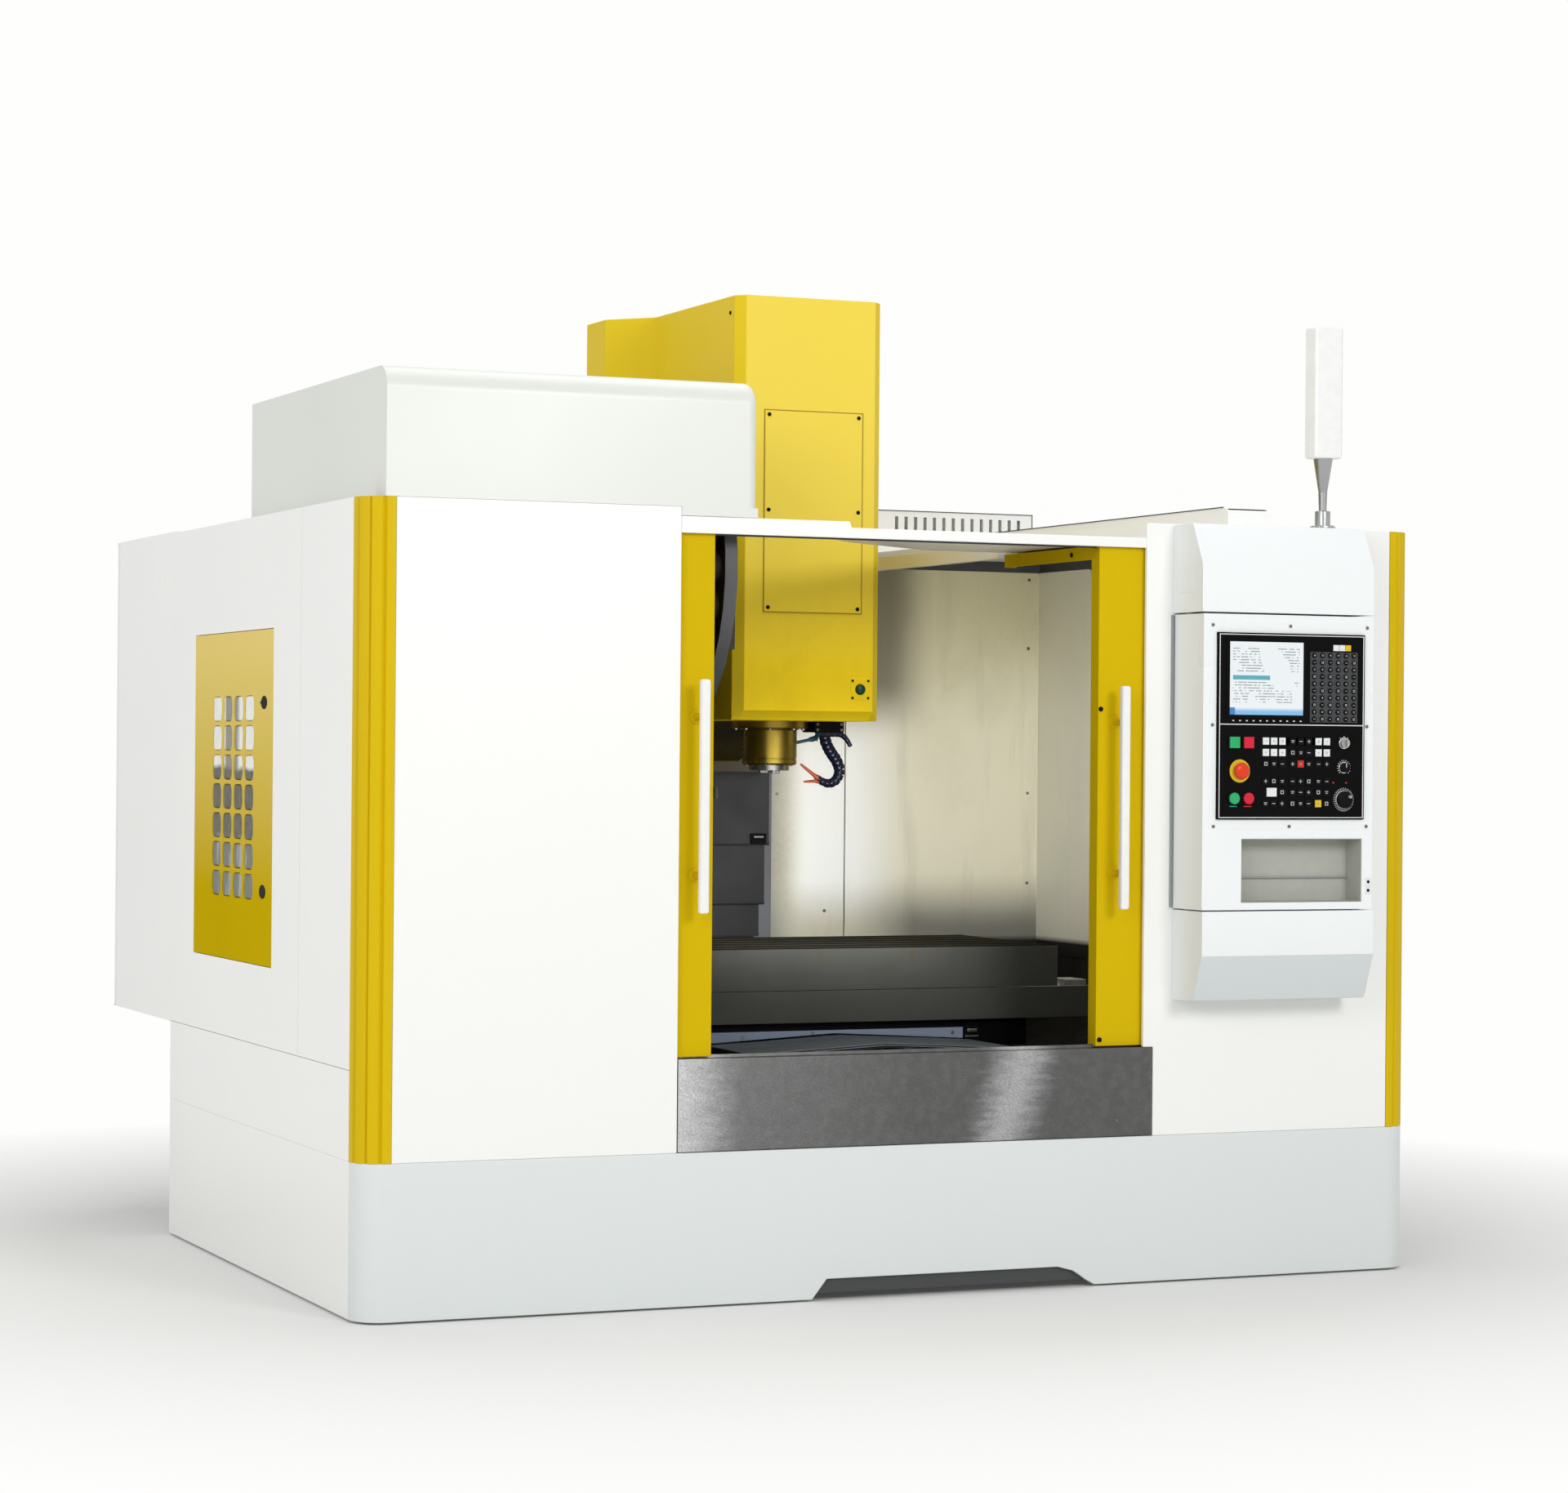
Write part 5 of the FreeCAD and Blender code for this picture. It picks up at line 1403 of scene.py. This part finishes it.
def filter_fleece():
    """Filter fleece: clean white above, grey with dust below, light streaks at its foot."""
    fleece = Finish("filter_fleece", Roughness=0.85)
    height, depth = fleece.axis("Z"), fleece.axis("Y")
    wander = fleece.noise(5.0, 3.0) * 0.05
    dust = fleece.ramp(height + wander, 1.560, 1.545, 0.0, 1.0)
    # painted shade over one column of slots
    shaded = fleece.ramp(depth + wander, -0.045, -0.010) * fleece.ramp(depth, 0.100, 0.090)
    weave = fleece.noise(60.0, 3.0, (1.0, 1.0, 0.5))
    clean = fleece.mix(fleece.ramp(weave, 0.35, 0.7, 0.0, 0.5), (0.93, 0.94, 0.92), (0.66, 0.68, 0.64))
    grey = fleece.mix(fleece.ramp(weave, 0.35, 0.7), (0.17, 0.17, 0.14), (0.10, 0.10, 0.08))
    streaks = fleece.ramp(fleece.noise(16.0, 4.0, (1.0, 1.0, 0.25)), 0.52, 0.62)
    foot = fleece.mix(streaks * fleece.ramp(height, 1.33, 1.28), grey, (0.52, 0.54, 0.50))
    foot = fleece.mix(fleece.ramp(height, 1.33, 1.28, 0.0, 0.4), foot, (0.30, 0.32, 0.29))
    above = fleece.mix(shaded * 0.8, clean, (0.16, 0.15, 0.12))
    fleece.set(Base_Color=fleece.mix(dust, above, foot))
    fleece.set(Normal=fleece.bump(fleece.noise(300.0, 4.0), 0.5, 0.0008))
    return fleece.material


class MACHINE_OT_side_door(bpy.types.Operator):
    """Slotted side door with the filter fleece in its frame"""
    bl_idname = "machine.side_door"
    bl_label = "Side door and filter"

    def execute(self, context):
        yellow, black = paint_of("side_door"), shared_paints()["sheet"]
        places = [(0.0, SLOT_LOW[0] + SLOT_PITCH[0] * column, SLOT_LOW[1] + SLOT_PITCH[1] * row)
                  for column in range(SLOT_COUNT[0]) for row in range(SLOT_COUNT[1])]
        leaf = cuboid(mm(-1700, -455, 938), mm(-1685, 458, 1946))
        slot = rounded_cutter((-1.701, 0.0, 0.0), (-1.684, *SLOT_SIZE), 0.026)
        pin = [(0.00405, 0.0), (0.00405, 0.016)]
        tools = scatter(slot, places)
        tools += [self.latch_bore(middle[1], yellow) for middle, _, _ in LATCH_PLATES]
        tools += [turned(pin, mm(-1692.5, 450, z), "Z", yellow, 24) for z in (937, 1931)]
        cut(leaf, tools)
        plates = []
        for middle, size, tip in LATCH_PLATES:
            cut(leaf, [self.drop_plate(middle, size, tip, 0.003, 0.0005)])
            plate = coat(self.drop_plate(middle, size, tip, 0.0012), black)
            plates.append(cut(plate, [self.latch_bore(middle[1], black)]))
        seat = cut(cuboid(mm(-1685, -264, 1106), mm(-1677, 264, 1774)),
                   [rounded_cutter(mm(-1686, -248, 1122), mm(-1676, 248, 1758), 0.004)])
        parts = [coat(ease_edges(leaf, 0.001), yellow), coat(seat, yellow)]
        stand_in("side_door", [*parts, *plates, *self.pads(places)])
        return {"FINISHED"}

    def latch_bore(self, height, material):
        return turned([(0.01505, 0.0), (0.01505, 0.020)], (-1.684, LATCH_Y, height), "-X", material)

    def drop_plate(self, middle, size, tip, height, spare=0.0):
        """Thin plate let into the door's face: a stretched disc, one corner drawn out to the rear."""
        plate = fresh(bpy.ops.mesh.primitive_circle_add, vertices=32, radius=0.5, fill_type="NGON",
                      location=(-1.6985, *middle), rotation=(0.0, -math.pi / 2, 0.0))
        plate.scale = (size[1] + 2 * spare, size[0] + 2 * spare, 1.0)
        settle()
        in_edit_mode()
        pick(plate, "VERT", lambda corner: corner.co.y > middle[0] + 0.495 * size[0])
        bpy.ops.transform.translate(value=(0.0, tip, 0.0))
        bpy.ops.mesh.select_all(action="SELECT")
        extrude(-height, 0.0, 0.0)
        face_outwards()
        in_object_mode()
        return plate

    def pads(self, places):
        """Fleece of the filter where it swells into the slots, and its back."""
        fleece = filter_fleece()
        low = (DOOR_SKIN + 0.0025, PAD_GAP, PAD_GAP)
        high = (DOOR_SKIN + 0.0215, SLOT_SIZE[0] - PAD_GAP, SLOT_SIZE[1] - PAD_GAP)
        pad = block(low, high, fleece, 0.006, 3)
        back = block(mm(-1677, -262, 1108), mm(-1666, 262, 1772), fleece, 0.004, 2)
        return scatter(pad, places) + [back]


# ---------------------------------------------------------------- saddle front and way covers

GUARD_FOOT = 0.7635


class MACHINE_OT_saddle(bpy.types.Operator):
    """Saddle with dark splash guards, front plates with their latch, hook of the column cover"""
    bl_idname = "machine.saddle"
    bl_label = "Saddle front and cover hook"

    def execute(self, context):
        black = shared_paints()["sheet"]
        body = repaint(painted("saddle"), paint_of("table"), lambda spot, _: spot.z > GUARD_FOOT and (
            spot.y < -0.7595 or spot.y > -0.1405))
        # black on the front faces between the plates and the guards: painted shade in the gap
        repaint(body, black, lambda spot, normal: (
            normal.y < -0.9 and spot.y < -0.755 and 0.736 < spot.z < GUARD_FOOT))
        finished("saddle", sizes().sheet, body)
        self.front_plates(black)
        add_on("z_cover_hook", "z_cover_head", [
            block(mm(238, 484, 1276), mm(298, 490, 1313), black, 0.002),
            block(mm(252, 481, 1297), mm(286, 486, 1304), paint_of("spindle"), 0.001)])
        return {"FINISHED"}

    def front_plates(self, black):
        """Dark side plate right of the cover and the spring latch beside it."""
        steel = shared_paints()["chrome"]
        add_on("saddle_latch", "saddle", [
            block(mm(500, -764, 680), mm(660, -760, 764), black, 0.0015),
            block(mm(438, -766, 702), mm(499, -760, 764), black, 0.0015),
            block(mm(446, -768, 706), mm(491, -766, 711), steel, 0.0008),
            block(mm(452, -770, 722), mm(485, -766, 733), steel, 0.0015)])


# ---------------------------------------------------------------- fasteners and small fittings

SCREWS = (
    # node that carries them, axis they face, head radius and height, places (all in mm)
    ("inner_walls", "-Y", 5.5, 3.0, [(1393, 679, 2213), (1392, 679, 1968), (1393, 679, 1451),
                                     (1393, 679, 1130), (418, 679, 1445), (602, 679, 1038)]),
    ("right_door", "-Y", 7.5, 3.5, [(608, -1338, 1728), (612, -1338, 736)]),
    ("steel_apron", "-Y", 5.0, 2.5, [(661, -1362, 494)]),
    ("saddle", "-Y", 5.5, 2.5, [(-306, -763, 722), (-73, -763, 730), (402, -763, 722)]),
    ("signal_pole", "Z", 4.0, 3.0, [(1330 + 30 * a, -1412 + 30 * b, 2294)
                                    for a, b in ((0.7, 0.7), (-0.7, 0.7), (0.7, -0.7), (-0.7, -0.7))]),
    ("electrical_cabinet", "-X", 6.0, 2.8, [(-1697, y, z) for y in (785, 1480) for z in (740, 2250)]),
    ("coolant_tank", "Z", 5.0, 3.0, [(x, y, 436) for x in (690, 1150) for y in (800, 1370)]),
)


class MACHINE_OT_fasteners(bpy.types.Operator):
    """Screws of the panels, walls, doors and covers"""
    bl_idname = "machine.fasteners"
    bl_label = "Fasteners"

    def execute(self, context):
        paint = shared_paints()
        for node, axis, radius, height, places in SCREWS:
            finish = paint["dark" if node == "right_door" else "screw"]
            head = screw_head(radius / 1000, height / 1000, finish, axis)
            add_on(node + "_screws", node, scatter(head, [mm(*place) for place in places]))
        return {"FINISHED"}


# ---------------------------------------------------------------- stage, light and camera

BACKDROP = (0.99, 0.99, 0.98)
STUDIO_LAMPS = (
    # name, place, aimed at, width and height, watts
    ("key", (1.6, -10.0, 4.4), (0.0, -0.8, 1.0), (2.6, 2.2), 270.0),
    ("fill", (-6.5, -7.5, 4.5), (0.0, -0.5, 1.2), (5.0, 4.0), 185.0),
    ("side", (-9.0, 0.5, 3.5), (-1.0, 0.0, 1.0), (4.0, 4.0), 95.0),
    ("top", (0.0, 0.0, 7.5), (0.0, 0.0, 0.0), (5.0, 5.0), 150.0),
)
CHAMBER_LAMPS = (
    # the same, and the spread in degrees
    ("work_light", (-0.1, -1.27, 1.24), (0.12, 0.67, 1.16), (0.8, 0.25), 4.5, 72.0),
    ("wall_light", (0.85, -1.20, 1.60), (1.45, 0.67, 1.45), (0.5, 0.6), 4.4, 95.0),
)


def set_world(strength):
    """Plain white in the picture, and softer as light."""
    world = bpy.data.worlds.new("studio")
    bpy.context.scene.world = world
    world.use_nodes = True
    sky = Shading(world.node_tree)
    lit = sky.tree.nodes["Background"]
    sky.feed(lit.inputs["Color"], (1.0, 1.0, 1.0))
    sky.feed(lit.inputs["Strength"], strength)
    shown = sky.node("ShaderNodeBackground", {}, {"Color": BACKDROP})
    sky.surface("World Output", shown, Wire(sky, lit.outputs[0]))


def softbox(name, place, target, size, power):
    """Large rectangular area light aimed at a point."""
    lamp = bpy.data.lights.new(name, "AREA")
    lamp.shape = "RECTANGLE"
    lamp.size, lamp.size_y = size
    lamp.energy = power
    thing = bpy.data.objects.new(name, lamp)
    bpy.context.scene.collection.objects.link(thing)
    aim = Vector(target) - Vector(place)
    thing.matrix_world = Matrix.Translation(place) @ aim.to_track_quat("-Z", "Y").to_matrix().to_4x4()
    return thing


class MACHINE_OT_stage(bpy.types.Operator):
    """Floor, studio light and the camera of the photograph"""
    bl_idname = "machine.stage"
    bl_label = "Stage, light and camera"

    def execute(self, context):
        self.floor()
        set_world(0.50)
        for lamp in STUDIO_LAMPS:
            softbox(*lamp)
        for *lamp, spread in CHAMBER_LAMPS:
            thing = softbox(*lamp)
            thing.data.spread = math.radians(spread)
            thing.visible_camera = False
        self.camera(context.scene.photo_camera)
        return {"FINISHED"}

    def floor(self):
        floor = fresh(bpy.ops.mesh.primitive_plane_add, size=80.0, location=ORIGIN)
        floor.name = "studio_floor"
        ground = Finish("floor_paper", Base_Color=(0.80, 0.80, 0.79), Roughness=0.9)
        paper = Wire(ground, ground.shader.outputs[0])
        glow = ground.node("ShaderNodeEmission", {}, {"Color": BACKDROP})
        reach = ground.node("ShaderNodeVectorMath", {"operation": "LENGTH"}, {0: ground.place()}, 1)
        far = ground.ramp(reach, 2.2, 4.4, 0.05, 1.0)
        fade = ground.node("ShaderNodeMixShader", {}, {0: far, 1: paper, 2: glow})
        ground.surface("Material Output", fade, paper)
        coat(floor, ground.material)

    def camera(self, photo):
        forward = Vector((math.sin(photo.yaw) * math.cos(photo.pitch),
                          math.cos(photo.yaw) * math.cos(photo.pitch), math.sin(photo.pitch)))
        level = Vector((math.cos(photo.yaw), -math.sin(photo.yaw), 0.0))
        head = level.cross(forward)
        right = level * math.cos(photo.roll) + head * math.sin(photo.roll)
        up = head * math.cos(photo.roll) - level * math.sin(photo.roll)
        turn = Matrix((right, up, -forward)).transposed().to_4x4()
        camera = bpy.data.objects.new("photo_camera", bpy.data.cameras.new("photo_camera"))
        camera.data.lens = photo.lens
        camera.data.sensor_width = 36.0
        camera.data.clip_end = 200.0
        camera.matrix_world = Matrix.Translation(photo.place) @ turn
        bpy.context.scene.collection.objects.link(camera)
        bpy.context.scene.camera = camera


# ---------------------------------------------------------------- panel and run

STEPS = (MACHINE_OT_stage, MACHINE_OT_finishes, MACHINE_OT_construction, MACHINE_OT_doors,
         MACHINE_OT_display, MACHINE_OT_operator_panel, MACHINE_OT_controls, MACHINE_OT_station,
         MACHINE_OT_head, MACHINE_OT_spindle_nose, MACHINE_OT_coolant_hoses, MACHINE_OT_magazine,
         MACHINE_OT_side_door, MACHINE_OT_saddle, MACHINE_OT_fasteners)


class MACHINE_PT_finish(bpy.types.Panel):
    """Sidebar panel with the settings and the steps in order"""
    bl_idname = "MACHINE_PT_finish"
    bl_label = "Machining center"
    bl_space_type = "VIEW_3D"
    bl_region_type = "UI"
    bl_category = "Machine"

    def draw(self, context):
        for settings in (paints(), sizes(), context.scene.photo_camera):
            for name in settings.__annotations__:
                self.layout.prop(settings, name)
        for step in STEPS:
            self.layout.operator(step.bl_idname)


CLASSES = (MachinePaints, MachineSizes, PhotoCamera, *STEPS, MACHINE_PT_finish)


def register():
    for cls in CLASSES:
        bpy.utils.register_class(cls)
    bpy.types.Scene.machine_paints = bpy.props.PointerProperty(type=MachinePaints)
    bpy.types.Scene.machine_sizes = bpy.props.PointerProperty(type=MachineSizes)
    bpy.types.Scene.photo_camera = bpy.props.PointerProperty(type=PhotoCamera)


def unregister():
    del bpy.types.Scene.photo_camera
    del bpy.types.Scene.machine_sizes
    del bpy.types.Scene.machine_paints
    for cls in reversed(CLASSES):
        bpy.utils.unregister_class(cls)


def main():
    register()
    bpy.context.scene.view_settings.view_transform = "Standard"
    for step in STEPS:
        group, name = step.bl_idname.split(".")
        getattr(getattr(bpy.ops, group), name)()


if __name__ == "__main__":
    main()
